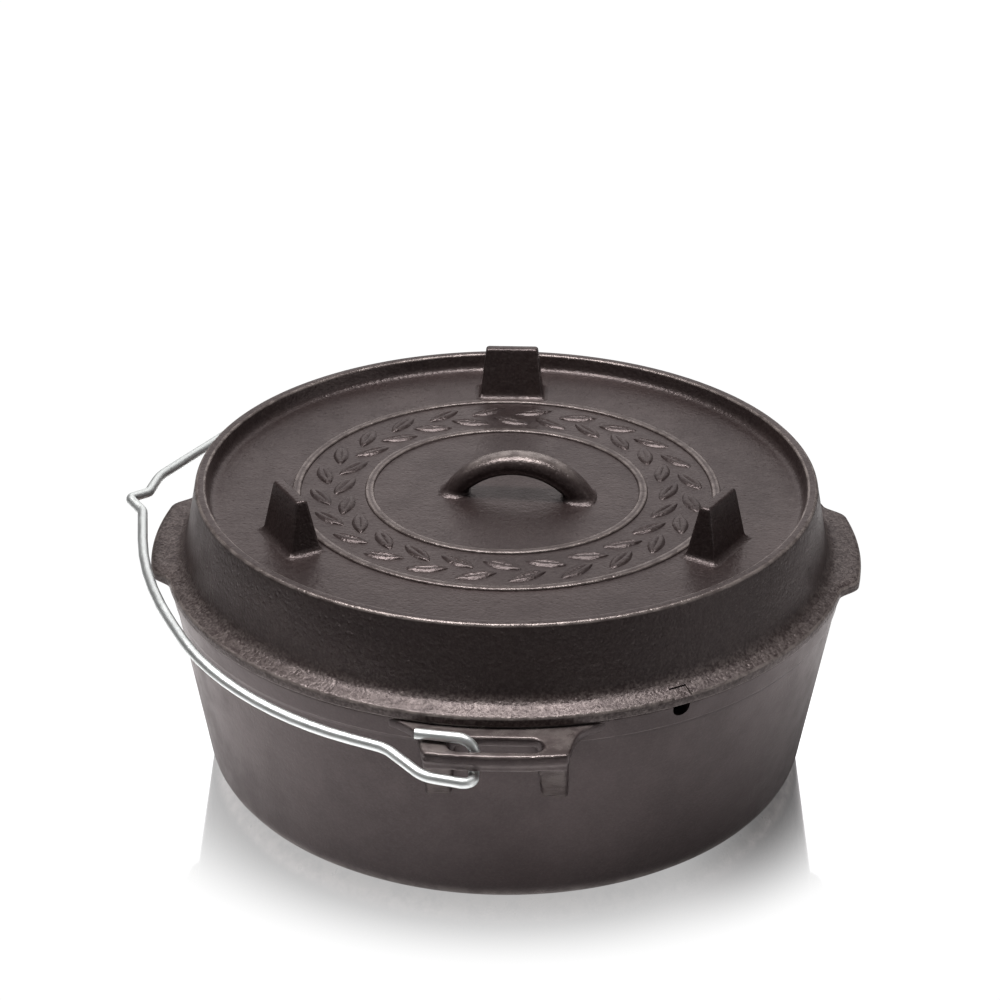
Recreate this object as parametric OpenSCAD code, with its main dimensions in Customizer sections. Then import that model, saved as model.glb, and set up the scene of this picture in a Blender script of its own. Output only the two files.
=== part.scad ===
// Flat-based camp dutch oven: a cast pot with two slotted ears, a cast lid that turns over to
// stand on three legs, and a wire bail hooked loosely through the ears.
// Millimetres, +Z up. The origin is the centre of the pot's flat base. The ears lie on the Y axis,
// the lid's grips on the X axis, and the bail lies towards -X at rest.

/* [Pot] */
// Height of the pot from its base to its rim
pot_h = 99.6; // [85:0.1:150]
// Outer radius of the pot at its rim
pot_rim_r = 153.4; // [145:0.1:170]
// Outer radius at which the line of the wall meets the floor
pot_foot_r = 137; // [128:0.1:144]
// Thickness of the pot's wall, measured level
pot_wall = 4.4; // [3.5:0.1:6]
// Thickness of the pot's base
pot_base = 5; // [4:0.1:8]
// Outer radius of the corner between wall and base
pot_corner_r = 13; // [8:0.5:16]
// Inner radius of the corner between wall and base
pot_inner_corner_r = 10; // [5:0.5:14]
// Rounding of the edges of the rim
rim_edge_r = 0.8; // [0.3:0.1:1.2]

/* [Thermometer notch] */
// Direction of the notch around the rim
notch_angle = -60.4; // [-66:0.1:-40]
// Width of the notch in the rim
notch_w = 8; // [5:0.1:12]
// Depth of the notch below the rim
notch_depth = 5.8; // [5:0.1:9]
// Depth of the shallow mark on the lid's flange above the notch
mark_depth = 0.8; // [0.5:0.1:1.5]
// Reach of the mark inwards from the edge of the flange
mark_reach = 6; // [3:0.5:7]

/* [Ears] */
// Drop of the ear's top face below the rim
ear_drop = 0.8; // [0.5:0.1:3]
// Half length of the ear along its front lip
ear_half_l = 29; // [27:0.5:36]
// Growth of the half length from the lip back to the wall
ear_flare = 4; // [1:0.5:6]
// Thickness of the ear's top plate
ear_plate_t = 4.6; // [4:0.1:6]
// Height of the front bar that the hook hangs from
bar_h = 8; // [7:0.1:10]
// Thickness of the front bar at its lip
bar_t = 4.2; // [3.8:0.1:6]
// How far the lip stands proud of the face under it
lip_proud = 0.8; // [0.3:0.1:1.2]
// Radius of the ear's front corner away from the bail
ear_corner_r = 3; // [2:0.5:6]
// Radius of the ear's front corner that the bail passes as it swings
ear_pass_r = 8; // [7:0.5:10]
// Distance from the pot's rim to the slot
slot_back = 7.8; // [6:0.1:10]
// Width of the slot, outwards
slot_w = 10.6; // [10:0.1:14]
// Length of the slot, along the ear
slot_l = 39; // [36:0.5:44]
// Width of the gusset under each end of the ear
gusset_w = 11; // [8:0.5:12]
// How much narrower the gusset is at its foot
gusset_taper = 4; // [0:0.5:5]
// Reach of the gusset down the wall below the front bar
gusset_drop = 28; // [20:0.5:36]

/* [Lid shell] */
// Height of the lid's rim above the rim of the pot
lid_h = 39.4; // [34:0.1:48]
// Overhang of the lid's flange past the rim of the pot
flange_over = 1.4; // [0.8:0.1:3]
// Height of the flange at its outer edge
flange_edge_h = 4.2; // [3.5:0.1:5]
// Rise of the flange from its edge to the lid's wall
flange_rise = 2; // [1:0.1:3]
// Distance from the rim of the pot to the foot of the lid's wall
lid_inset = 7.2; // [6:0.1:8.5]
// How far the lid's wall leans inwards from its foot to its rim
lid_lean = 6.2; // [3:0.1:9]
// Thickness of the lid's wall
lid_wall = 4.4; // [3.5:0.1:5.5]
// Depth of the dish from the rim to the plate
dish_depth = 8; // [6:0.1:12]
// Thickness of the lid's plate
plate_t = 4.5; // [4:0.1:6]
// Slope of the dish's wall, inwards from rim to plate
dish_slope = 1.8; // [1:0.1:3]
// Depth of the locating lip that drops inside the pot
locating_lip_h = 4; // [3:0.1:6]
// Play between the locating lip and the pot
locating_play = 1; // [0.6:0.1:1.6]
// Thickness of the locating lip
locating_lip_t = 3.8; // [3:0.1:4.5]

/* [Grips] */
// Reach of each grip past the flange
grip_reach = 6.7; // [4:0.1:9]
// Half width of a grip across its outer corners
grip_half_w = 33; // [26:0.5:38]
// Radius of the grip's outer corners
grip_corner_r = 5; // [3:0.5:6]
// Radius of the flare from the grip into the flange
grip_flare_r = 8; // [4:0.5:10]

/* [Lid legs] */
// Number of legs on the lid
leg_count = 3; // [3:1:4]
// Direction of the first leg
leg_angle = 90; // [80:1:100]
// Distance from the lid's rim to the middle of a leg
leg_inset = 33.5; // [28:0.5:40]
// Height of a leg above the lid's plate
leg_h = 24; // [16:0.5:32]
// Width of a leg at its foot, across the lid
leg_foot_w = 30.5; // [24:0.5:34]
// Width of a leg at its top
leg_top_w = 25; // [16:0.5:28]
// Depth of a leg at its foot, along the lid's radius
leg_foot_d = 14.5; // [9:0.5:16]
// Depth of a leg at its top
leg_top_d = 5; // [3:0.5:7]
// Radius of the flare at a leg's foot
leg_flare_r = 1.2; // [0.8:0.1:3]

/* [Loop handle] */
// Height of the loop above the lid's plate
loop_h = 20.5; // [18:0.5:30]
// Half span of the loop over its feet
loop_half_span = 35; // [30:0.5:45]
// Thickness of the loop
loop_t = 10; // [7:0.5:12]
// Width of the loop
loop_w = 13.5; // [12.5:0.5:18]
// Turn of the loop about the lid's axis
loop_turn = -4; // [-15:1:15]
// Distance of the loop from the lid's middle, towards +X
loop_aside = 5; // [0:0.1:6]
// Distance of the loop from the lid's middle, towards -Y
loop_forward = 4.6; // [0:0.1:6]

/* [Lid relief] */
// Number of leaves in each row of the wreath
leaf_count = 24; // [16:1:26]
// Length of a leaf
leaf_l = 19; // [14:0.5:20]
// Width of a leaf
leaf_w = 7.6; // [5:0.1:8]
// Height of a leaf above the lid's plate
leaf_h = 1; // [0.6:0.1:1.4]
// Turn of a leaf away from the line of its row
leaf_lean = 24; // [16:1:30]
// Radius of the inner row of leaves
inner_row_r = 73.5; // [71:0.5:75]
// Radius of the outer row of leaves
outer_row_r = 84; // [82:0.5:86]
// Radius of the ring inside the wreath
inner_ring_r = 62; // [58:0.5:63]
// Radius of the ring outside the wreath
outer_ring_r = 95; // [94:0.5:96]
// Width of each ring
ring_w = 4.2; // [3.5:0.1:5]
// Height of each ring above the lid's plate
ring_h = 1; // [0.6:0.1:1.2]

/* [Bail] */
// Diameter of the bail's wire
wire_d = 4.5; // [4:0.1:5]
// Distance of the hinge line from the middle of the slot
hook_shift = 8.5; // [7:0.5:10]
// Play between the hook and the bar above it
hook_play = 0.8; // [0.5:0.1:1.5]
// Play between the bail and the front of the ear
side_play = 1.3; // [1:0.1:3]
// Play between the hook's free end and the ear's top face at rest
stop_play = 0.35; // [0.3:0.05:0.6]
// Length of the hook's free end past the hinge line
free_end_l = 24; // [20:0.5:26]
// Distance of the free end's tip inwards from the middle of the slot
free_end_in = 3.2; // [2:0.1:3.5]
// How far the hook leans past the hinge line at its top
hook_turn_back = 0.5; // [0:0.1:2]
// Distance of the hook's top outwards from the middle of the slot
hook_top_out = 0.7; // [0:0.1:1]
// Distance of the hook's rise outwards from the middle of the slot
hook_rise_out = 1.7; // [1:0.1:2]
// Bend radius at the top of the hook
hook_bend_r = 7; // [5:0.1:8]
// Distance from the hinge line at which the wire turns out to pass the ear
flare_u = 36.5; // [35:0.5:42]
// Distance from the hinge line at which the wire runs past the front of the ear
pass_x = 20; // [19:0.5:22]
// Height of the wire above the hinge line there
pass_z = 3.6; // [2:0.1:5]
// Bend radius where the wire turns out to pass the ear
flare_bend_r = 12; // [8:0.5:14]
// Bend radius where the wire turns in under the bar
cross_bend_r = 5.5; // [4:0.1:6]
// Bend radius where the wire turns up into the slot
rise_bend_r = 3.8; // [3.5:0.1:4.5]
// Slope of the bail at rest
bail_tilt = 12.2; // [9:0.1:18]
// Play between the bow of the bail and the grip that it passes
bow_play = 0.9; // [0.8:0.1:4]
// Distance from the lid's flange out to the sides of the bow
bow_side_gap = 8.5; // [7:0.5:13]
// Height of the pointed notch in the middle of the bow
bow_notch_h = 7.5; // [5:0.5:12]
// Half width of the pointed notch in the middle of the bow
bow_notch_half_w = 9.5; // [7:0.5:12]
// Bend radius at the point of the notch in the bow
notch_tip_r = 3; // [2.5:0.1:4]
// Bend radius at the feet of the notch in the bow
notch_foot_r = 6; // [4:0.5:8]
// Distance from the bow's middle to its front brow
front_brow_y = 71.5; // [60:0.5:85]
// Fall of the bow from its middle to its front brow
front_brow_fall = 9.5; // [8:0.5:11]
// Radius of the bow's front brow
front_brow_r = 200; // [120:5:210]
// Distance from the bow's middle to its rear brow
rear_brow_y = 27.5; // [27:0.5:45]
// Fall of the bow from its middle to its rear brow
rear_brow_fall = 2.3; // [1.5:0.1:2.5]
// Radius of the bow's rear brow
rear_brow_r = 40; // [20:5:60]
// Fall of the bow from its middle to its shoulders
shoulder_fall = 57.5; // [50:0.5:65]
// Distance of the shoulders inwards from the sides of the bow
shoulder_in = 7.5; // [5:0.5:10]
// Radius of the bow's shoulders
shoulder_r = 100; // [60:5:105]

/* [Hidden] */
$fn = 48;
iron = "#4b4441";
wire_grey = "#c4c8c9";
arc_steps = 5;
over = 1;
bend_swell = 0.02;
bend_seat = 0.1;

// Levels and radii that several pieces share
wire_r = wire_d / 2;
lid_top = pot_h + lid_h;
plate_top = lid_top - dish_depth;
flange_r = pot_rim_r + flange_over;
flange_top = pot_h + flange_edge_h;
lid_foot_r = pot_rim_r - lid_inset;
lid_rim_r = lid_foot_r - lid_lean;
grip_r = flange_r + grip_reach;
ear_top = pot_h - ear_drop;
slot_in = pot_rim_r + slot_back;
slot_mid = slot_in + slot_w / 2;
ear_front = slot_in + slot_w + bar_t;
bar_bottom = ear_top - bar_h;
hinge_x = -hook_shift;
hinge_z = bar_bottom - hook_play - wire_r;

function unit(v) = v / norm(v);

// Points of one rounded corner of an outline
function rounded(a, b, c, r) =
    let (u = unit(a - b), v = unit(c - b), turn = acos(u * v), cut = r / tan(turn / 2),
         centre = b + unit(u + v) * r / sin(turn / 2), from = b + u * cut, sweep = 180 - turn,
         side = sign(u[0] * v[1] - u[1] * v[0]), start = from - centre)
    [for (i = [0 : arc_steps]) let (t = -side * sweep * i / arc_steps)
        centre + [start[0] * cos(t) - start[1] * sin(t), start[0] * sin(t) + start[1] * cos(t)]];

// Outline with each corner, given as [x, y, radius], rounded by its own radius
function outline(corners) =
    let (n = len(corners))
    [for (i = [0 : n - 1])
        let (a = corners[(i + n - 1) % n], b = corners[i], c = corners[(i + 1) % n])
        each b[2] > 0 ? rounded([a[0], a[1]], [b[0], b[1]], [c[0], c[1]], b[2]) : [[b[0], b[1]]]];

// Radius of the pot's outer wall at a level
function wall_r(z) = pot_foot_r + (pot_rim_r - pot_foot_r) * z / pot_h;

// Radius of the lid's outer wall at a level
function lid_wall_r(z) = lid_foot_r - lid_lean * (z - flange_top - flange_rise)
    / (lid_top - flange_top - flange_rise);

module ring_of(corners) {
    rotate_extrude($fn = 128) polygon(outline(corners));
}

// The pot's outside as one turned solid
module pot_outside() {
    ring_of([[0, 0, 0], [pot_foot_r, 0, pot_corner_r], [pot_rim_r, pot_h, rim_edge_r], [0, pot_h, 0]]);
}

// The pot's hollow, with the round edge of the rim left standing
module pot_hollow() {
    mouth_r = pot_rim_r - pot_wall;
    floor_r = wall_r(pot_base) - pot_wall;
    ring_of([[0, pot_base, 0], [floor_r, pot_base, pot_inner_corner_r], [mouth_r, pot_h, 0],
        [mouth_r, pot_h + over, 0], [0, pot_h + over, 0]]);
}

// Outline of an ear from above, from inside the wall out to its lip, which is arched like the rim
module ear_outline(front) {
    half_back = ear_half_l + ear_flare;
    back = sqrt(pow(pot_rim_r - pot_wall, 2) - pow(half_back, 2)) - over;
    tip = front + over;
    intersection() {
        polygon(outline([[-half_back, -back, 0], [half_back, -back, 0], [half_back, -pot_rim_r, 2],
            [ear_half_l, -tip, ear_corner_r], [-ear_half_l, -tip, ear_pass_r],
            [-half_back, -pot_rim_r, 2]]));
        circle(r = front, $fn = 128);
    }
}

// Tapered web that runs from under one end of the ear down the wall
module gusset() {
    foot_z = bar_bottom - gusset_drop;
    top_z = ear_top - ear_plate_t + over;
    outer = ear_half_l - lip_proud;
    front = sqrt(pow(ear_front - lip_proud, 2) - pow(outer, 2));
    root = sqrt(pow(wall_r(foot_z) - pot_wall, 2) - pow(outer, 2));
    intersection() {
        translate([outer - gusset_w, 0, 0])
            rotate([90, 0, 90])
                linear_extrude(gusset_w)
                    polygon(outline([[-front, bar_bottom, 2], [-wall_r(foot_z), foot_z, 0],
                        [-root, foot_z, 0], [-root, top_z, 0], [-front, top_z, 0]]));
        rotate([90, 0, 0])
            linear_extrude(ear_front + over)
                polygon([[outer - gusset_w, top_z], [outer, top_z], [outer, bar_bottom],
                    [outer - gusset_taper / 2, foot_z], [outer - gusset_w + gusset_taper / 2, foot_z],
                    [outer - gusset_w, bar_bottom]]);
    }
}

// Slotted ear on the -Y side: top plate, deep front bar and two gussets
module ear() {
    difference() {
        union() {
            translate([0, 0, ear_top - ear_plate_t])
                linear_extrude(ear_plate_t)
                    ear_outline(ear_front);
            translate([0, 0, bar_bottom])
                linear_extrude(bar_h - over)
                    intersection() {
                        ear_outline(ear_front - lip_proud);
                        translate([-ear_half_l, -ear_front])
                            square([2 * ear_half_l, bar_t]);
                    }
            gusset();
            mirror([1, 0, 0])
                gusset();
        }
        translate([0, -slot_mid, bar_bottom - over])
            linear_extrude(bar_h + 2 * over)
                slot_outline();
    }
}

// Slot with round ends, centred on its middle
module slot_outline() {
    reach = slot_l / 2 - slot_w / 2;
    square([2 * reach, slot_w], center = true);
    for (side = [-1, 1])
        translate([side * reach, 0])
            circle(d = slot_w);
}

// Round-bottomed notch through the rim for the lead of a thermometer
module rim_notch() {
    low_r = notch_w / 2;
    rotate([0, 0, notch_angle])
        translate([pot_rim_r - 3 * pot_wall, 0, pot_h - notch_depth + low_r])
            rotate([90, 0, 90])
                linear_extrude(5 * pot_wall) {
                    circle(r = low_r);
                    translate([-low_r, 0])
                        square([notch_w, notch_depth]);
                }
}

module pot() {
    color(iron)
        difference() {
            union() {
                pot_outside();
                ear();
                mirror([0, 1, 0])
                    ear();
            }
            pot_hollow();
            rim_notch();
        }
}

// Turned shell of the lid: dish and plate above, flange and locating lip below
module lid_shell() {
    root_z = flange_top + flange_rise;
    under_z = plate_top - plate_t;
    lip_z = pot_h - locating_lip_h;
    lip_r = pot_rim_r - pot_wall - locating_play;
    lip_foot_r = lip_r - (pot_rim_r - pot_foot_r) * locating_lip_h / pot_h;
    dish_r = lid_rim_r - lid_wall;
    ring_of([[0, plate_top, 0], [dish_r - dish_slope, plate_top, 2.5], [dish_r, lid_top, 1.4],
        [lid_rim_r, lid_top, 1.6], [lid_foot_r, root_z, 7], [flange_r, flange_top, 1.9],
        [flange_r, pot_h, 0.6], [lip_r, pot_h, 0], [lip_foot_r, lip_z, 0.8],
        [lip_foot_r - locating_lip_t, lip_z, 0.8], [lid_wall_r(under_z) - lid_wall, under_z, 5],
        [0, under_z, 0]]);
}

// Outline of the two grips, flared into the flange, with the middle left open
module grip_outline() {
    flare_y = grip_half_w + grip_flare_r;
    flare_x = sqrt(pow(flange_r + grip_flare_r, 2) - pow(flare_y, 2));
    root = unit([flare_x, flare_y]) * flange_r;
    inner_x = lid_foot_r;
    corner_y = grip_half_w - grip_corner_r;
    corner_x = sqrt(pow(grip_r - grip_corner_r, 2) - pow(corner_y, 2));
    for (side = [0, 1])
        mirror([side, 0]) {
            difference() {
                polygon([[inner_x, -root[1]], [root[0], -root[1]], [flare_x, -grip_half_w],
                    [flare_x, grip_half_w], [root[0], root[1]], [inner_x, root[1]]]);
                for (end = [-1, 1])
                    translate([flare_x, end * flare_y])
                        circle(r = grip_flare_r);
            }
            intersection() {
                circle(r = grip_r, $fn = 128);
                translate([inner_x, -corner_y])
                    square([grip_r, 2 * corner_y]);
            }
            translate([inner_x, -grip_half_w])
                square([corner_x - inner_x, 2 * grip_half_w]);
            for (end = [-1, 1])
                translate([corner_x, end * corner_y])
                    circle(r = grip_corner_r);
        }
}

// Tapered leg with a flared foot, standing on the lid's plate at its own middle
module leg() {
    intersection() {
        leg_slab(leg_foot_w, leg_top_w, leg_foot_d + 4 * leg_flare_r);
        rotate([0, 0, 90])
            leg_slab(leg_foot_d, leg_top_d, leg_foot_w + 4 * leg_flare_r);
    }
}

// Slab with one tapered, flared face outline, cut through along Y
module leg_slab(foot, top, through) {
    foot_x = foot / 2;
    top_x = top / 2;
    toe_x = foot_x + leg_flare_r;
    rotate([90, 0, 0])
        linear_extrude(through, center = true)
            polygon(outline([[-toe_x, -over, 0], [toe_x, -over, 0], [toe_x, 0, 0],
                [foot_x, 0.4, leg_flare_r], [top_x, leg_h, 0.8],
                [-top_x, leg_h, 0.8], [-foot_x, 0.4, leg_flare_r], [-toe_x, 0, 0]]));
}

// Arched loop handle of oval section, its feet flat on the plate
module loop() {
    arch_r = (pow(loop_half_span, 2) + pow(loop_h, 2)) / (2 * loop_h);
    half_flat = (loop_w - loop_t) / 2;
    intersection() {
        translate([0, 0, loop_h - arch_r])
            rotate([90, 0, 0])
                rotate_extrude($fn = 96)
                    translate([arch_r - loop_t / 2, 0]) {
                        square([loop_t, 2 * half_flat], center = true);
                        for (side = [-1, 1])
                            translate([0, side * half_flat])
                                circle(d = loop_t);
                    }
        translate([-2 * loop_half_span, -loop_w, 0])
            cube([4 * loop_half_span, 2 * loop_w, 2 * loop_h]);
    }
}

// Outline of a leaf, pointed at both ends
module leaf_outline() {
    side_r = (pow(leaf_l, 2) + pow(leaf_w, 2)) / (4 * leaf_w);
    intersection() {
        translate([0, side_r - leaf_w / 2])
            circle(r = side_r);
        translate([0, leaf_w / 2 - side_r])
            circle(r = side_r);
    }
}

// Row of leaves in low relief around the lid's middle
module leaf_row(row_r, lean, shift) {
    translate([0, 0, -over])
        linear_extrude(over + leaf_h)
            for (i = [0 : leaf_count - 1])
                rotate((i + shift) * 360 / leaf_count)
                    translate([row_r, 0])
                        rotate(90 + lean)
                            leaf_outline();
}

// Raised ring around the lid's middle, with sloped sides
module raised_ring(ring_r) {
    ring_of([[ring_r - ring_w / 2 - over, -over, 0], [ring_r + ring_w / 2 + over, -over, 0],
        [ring_r + ring_w / 2 - ring_h, ring_h, 0.4], [ring_r - ring_w / 2 + ring_h, ring_h, 0.4]]);
}

// Wreath of two rows of leaves between two raised rings
module wreath() {
    leaf_row(inner_row_r, -leaf_lean, 0);
    leaf_row(outer_row_r, leaf_lean, 0.5);
    raised_ring(inner_ring_r);
    raised_ring(outer_ring_r);
}

// Shallow step in the flange, level with its slope, that shows where the notch is
module flange_mark() {
    slope = atan(flange_rise / (flange_r - lid_foot_r));
    translate([flange_r, 0, flange_top - mark_depth])
        rotate([0, slope, 0])
            translate([-mark_reach, -notch_w / 2, 0])
                cube([mark_reach + over, notch_w, mark_depth + over]);
}

// Gap in the locating lip behind the notch
module lip_relief() {
    translate([lid_foot_r - 3 * locating_lip_t, -notch_w / 2, pot_h - locating_lip_h - over])
        cube([6 * locating_lip_t, notch_w, locating_lip_h + over]);
}

module lid() {
    color(iron)
        difference() {
            union() {
                lid_shell();
                translate([0, 0, pot_h])
                    linear_extrude(flange_edge_h)
                        grip_outline();
                for (i = [0 : leg_count - 1])
                    rotate([0, 0, leg_angle + 360 * i / leg_count])
                        translate([lid_rim_r - leg_inset, 0, plate_top])
                            rotate([0, 0, 90])
                                leg();
                translate([0, 0, plate_top])
                    wreath();
            }
            rotate([0, 0, notch_angle]) {
                flange_mark();
                lip_relief();
            }
        }
}

module lid_loop() {
    color(iron)
        translate([loop_aside, -loop_forward, plate_top])
            rotate([0, 0, loop_turn])
                loop();
}

// Half of the bail's route from the notch in the bow to a free end, measured from the hinge line.
// Each corner is [x, y, z, bend radius]. The wire is bent by hand, and its rear brow is the flatter.
bow_u = (grip_r + wire_r + bow_play - hook_shift) / cos(bail_tilt);
bow_side = flange_r + bow_side_gap + wire_r;
leg_y = ear_front + side_play + wire_r;
hook_rise = bar_h + hook_play + 2 * wire_r + stop_play;

function on_bow(u, y, bend) = [-u * cos(bail_tilt), y, u * sin(bail_tilt), bend];

function half_route(side, brow_y, brow_fall, brow_r) = [
    on_bow(bow_u, side * bow_notch_half_w, notch_foot_r),
    on_bow(bow_u - brow_fall, side * brow_y, brow_r),
    on_bow(bow_u - shoulder_fall, side * (bow_side - shoulder_in), shoulder_r),
    on_bow(flare_u, side * bow_side, flare_bend_r),
    [-pass_x, side * leg_y, pass_z, flare_bend_r],
    [0, side * leg_y, 0, cross_bend_r],
    [0, side * (slot_mid + hook_rise_out), 0, rise_bend_r],
    [hook_turn_back, side * (slot_mid + hook_top_out), hook_rise, hook_bend_r],
    [-free_end_l, side * (slot_mid - free_end_in), hook_rise, 0]
];

front_route = half_route(-1, front_brow_y, front_brow_fall, front_brow_r);
rear_route = half_route(1, rear_brow_y, rear_brow_fall, rear_brow_r);
bail_route = concat([for (i = [len(rear_route) - 1 : -1 : 0]) rear_route[i]],
    [on_bow(bow_u + bow_notch_h, 0, notch_tip_r)], front_route);

function place(p) = [p[0], p[1], p[2]];
function heading(path, i) = unit(place(path[i + 1]) - place(path[i]));
function turn_at(path, i) = acos(heading(path, i - 1) * heading(path, i));
function cut_at(path, i) = path[i][3] > 0 ? path[i][3] * tan(turn_at(path, i) / 2) : 0;

// Frame with its columns along x, y and z and its origin at a point
module in_frame(x, y, z, at) {
    multmatrix([[x[0], y[0], z[0], at[0]], [x[1], y[1], z[1], at[1]], [x[2], y[2], z[2], at[2]]])
        children();
}

function cut_at_end(path, i) = i == 0 || i == len(path) - 1 ? 0 : cut_at(path, i);

// Round wire along a route, bent to each corner's radius. The straights are a hair thinner than the
// bends, and each one ends just inside its bends.
module bent_wire(path, r) {
    last = len(path) - 1;
    for (i = [0 : last - 1]) {
        along = heading(path, i);
        side = unit(cross(along, abs(along[2]) < 0.9 ? [0, 0, 1] : [1, 0, 0]));
        from = place(path[i]) + along * (cut_at_end(path, i) - bend_seat);
        to = place(path[i + 1]) - along * (cut_at_end(path, i + 1) - bend_seat);
        in_frame(side, cross(along, side), along, from)
            cylinder(r = r - bend_swell, h = norm(to - from));
    }
    for (i = [1 : last - 1]) {
        before = heading(path, i - 1);
        turn = turn_at(path, i);
        bend = path[i][3];
        centre = place(path[i]) + unit(heading(path, i) - before) * bend / cos(turn / 2);
        start = unit(place(path[i]) - before * cut_at(path, i) - centre);
        in_frame(start, before, cross(start, before), centre)
            rotate_extrude(angle = turn, $fn = 96)
                translate([bend, 0])
                    circle(r = r, $fn = 24);
    }
}

module bail() {
    color(wire_grey)
        translate([hinge_x, 0, hinge_z])
            bent_wire(bail_route, wire_r);
}

pot();
lid();
lid_loop();
bail();
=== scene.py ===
"""Looks of a flat-based camp dutch oven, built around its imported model.

The pot and the lid are sand-cast and seasoned iron, the bail is zinc-plated wire.
Sizes of the pieces are in millimetres. Finishes, lamps and the floor are in metres.
"""

import logging
import math
from dataclasses import dataclass
from enum import Enum
from typing import Any, Callable, Optional, Sequence, Union

import bmesh
import bpy
import numpy as np
from bpy.types import Material, Mesh, Node, NodeSocket, NodeTree, Object
from mathutils import Matrix, Vector


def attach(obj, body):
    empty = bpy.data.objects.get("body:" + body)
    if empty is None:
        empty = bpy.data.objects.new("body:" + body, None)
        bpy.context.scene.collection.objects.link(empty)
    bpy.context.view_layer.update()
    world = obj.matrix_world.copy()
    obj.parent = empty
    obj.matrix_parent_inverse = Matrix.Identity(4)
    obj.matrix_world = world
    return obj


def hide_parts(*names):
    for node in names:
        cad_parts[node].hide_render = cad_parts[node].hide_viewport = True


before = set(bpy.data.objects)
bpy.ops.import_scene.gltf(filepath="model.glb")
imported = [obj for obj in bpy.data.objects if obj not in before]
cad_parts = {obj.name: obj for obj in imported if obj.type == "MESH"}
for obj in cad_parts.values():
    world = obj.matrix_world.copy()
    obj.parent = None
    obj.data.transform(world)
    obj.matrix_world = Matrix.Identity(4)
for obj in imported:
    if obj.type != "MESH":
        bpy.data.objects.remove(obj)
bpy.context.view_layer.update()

MM = 0.001
FULL_TURN = 2 * math.pi
QUARTER_TURN = math.pi / 2
STRAIGHT = 1e-4
TINY = 1e-6
CAST_EDGE_ANGLE = 40.0
WIRE_EDGE_ANGLE = 50.0
LOG = logging.getLogger("dutch_oven")

Colour = tuple[float, float, float]
Corner = tuple[float, float, float]
Bend = tuple[float, float, float, float]
Number = Union[int, float]
Value = Union[Number, tuple, NodeSocket]
Rule = Callable[[float, float], float]


class Body(str, Enum):
    """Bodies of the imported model."""

    POT = "pot"
    LID = "lid"
    BAIL = "bail"


class Slot(str, Enum):
    """Material slots of the record."""

    POT = "pot_iron"
    LID = "lid_iron"
    BAIL = "bail_wire"


class Cut(str, Enum):
    """Ways in which one solid trims another."""

    TAKE_AWAY = "DIFFERENCE"
    KEEP_SHARED = "INTERSECT"


# Meshes


def mesh_of(name: str, verts: np.ndarray, faces: Sequence[Sequence[int]],
            edges: Sequence[tuple[int, int]] = ()) -> Mesh:
    """Make a mesh from points in millimetres.

    Args:
        name: Name of the mesh.
        verts: Points, one row each.
        faces: Corner numbers of each face.
        edges: Loose edges.

    Returns:
        The new mesh, in metres.
    """
    mesh = bpy.data.meshes.new(name)
    places = (np.asarray(verts, float) * MM).tolist()
    mesh.from_pydata(places, list(edges), [list(face) for face in faces])
    mesh.update()
    return mesh


def store(mesh: Mesh, **columns: Sequence[float]) -> Mesh:
    """Store named values for the points of a mesh.

    Args:
        mesh: The mesh.
        **columns: Name and values of each attribute.

    Returns:
        The same mesh.
    """
    for name, values in columns.items():
        layer = mesh.attributes.get(name) or mesh.attributes.new(name, "FLOAT", "POINT")
        layer.data.foreach_set("value", np.asarray(values, np.float32))
    return mesh


def line_mesh(name: str, points: np.ndarray, **columns: Sequence[float]) -> Mesh:
    """Join points into a line, with named values for them."""
    edges = [(i, i + 1) for i in range(len(points) - 1)]
    return store(mesh_of(name, points, [], edges), **columns)


def put(name: str, mesh: Mesh) -> Object:
    """Put a mesh into the scene as an object at the origin.

    Args:
        name: Name of the object.
        mesh: Its mesh.

    Returns:
        The object.
    """
    obj = bpy.data.objects.new(name, mesh)
    bpy.context.scene.collection.objects.link(obj)
    return obj


def plain_copy(obj: Object) -> Mesh:
    """Turn an object and its modifiers into one plain mesh, and delete the object.

    Args:
        obj: The object.

    Returns:
        The finished mesh.
    """
    graph = bpy.context.evaluated_depsgraph_get()
    mesh = bpy.data.meshes.new_from_object(obj.evaluated_get(graph), depsgraph=graph)
    bpy.data.objects.remove(obj, do_unlink=True)
    return mesh


def tidy_normals(mesh: Mesh, merge: float = TINY) -> Mesh:
    """Merge doubles and turn all faces of a closed mesh outwards.

    Args:
        mesh: The mesh.
        merge: Distance in metres within which points are one.

    Returns:
        The same mesh.
    """
    work = bmesh.new()
    work.from_mesh(mesh)
    bmesh.ops.remove_doubles(work, verts=work.verts, dist=merge)
    bmesh.ops.dissolve_degenerate(work, edges=work.edges, dist=merge / 10)
    bmesh.ops.recalc_face_normals(work, faces=work.faces)
    work.to_mesh(mesh)
    work.free()
    return mesh


def loft(name: str, rings: Sequence[np.ndarray]) -> Mesh:
    """Join rings of equal count into a closed skin with a flat face at each end.

    Args:
        name: Name of the mesh.
        rings: Rings of points.

    Returns:
        The mesh.
    """
    count = len(rings[0])
    faces: list[list[int]] = []
    for low in range(0, (len(rings) - 1) * count, count):
        high = low + count
        for k in range(count):
            n = (k + 1) % count
            faces.append([low + k, low + n, high + n, high + k])
    faces.append(list(range(count))[::-1])
    faces.append([(len(rings) - 1) * count + k for k in range(count)])
    return tidy_normals(mesh_of(name, np.vstack(rings), faces))


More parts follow.
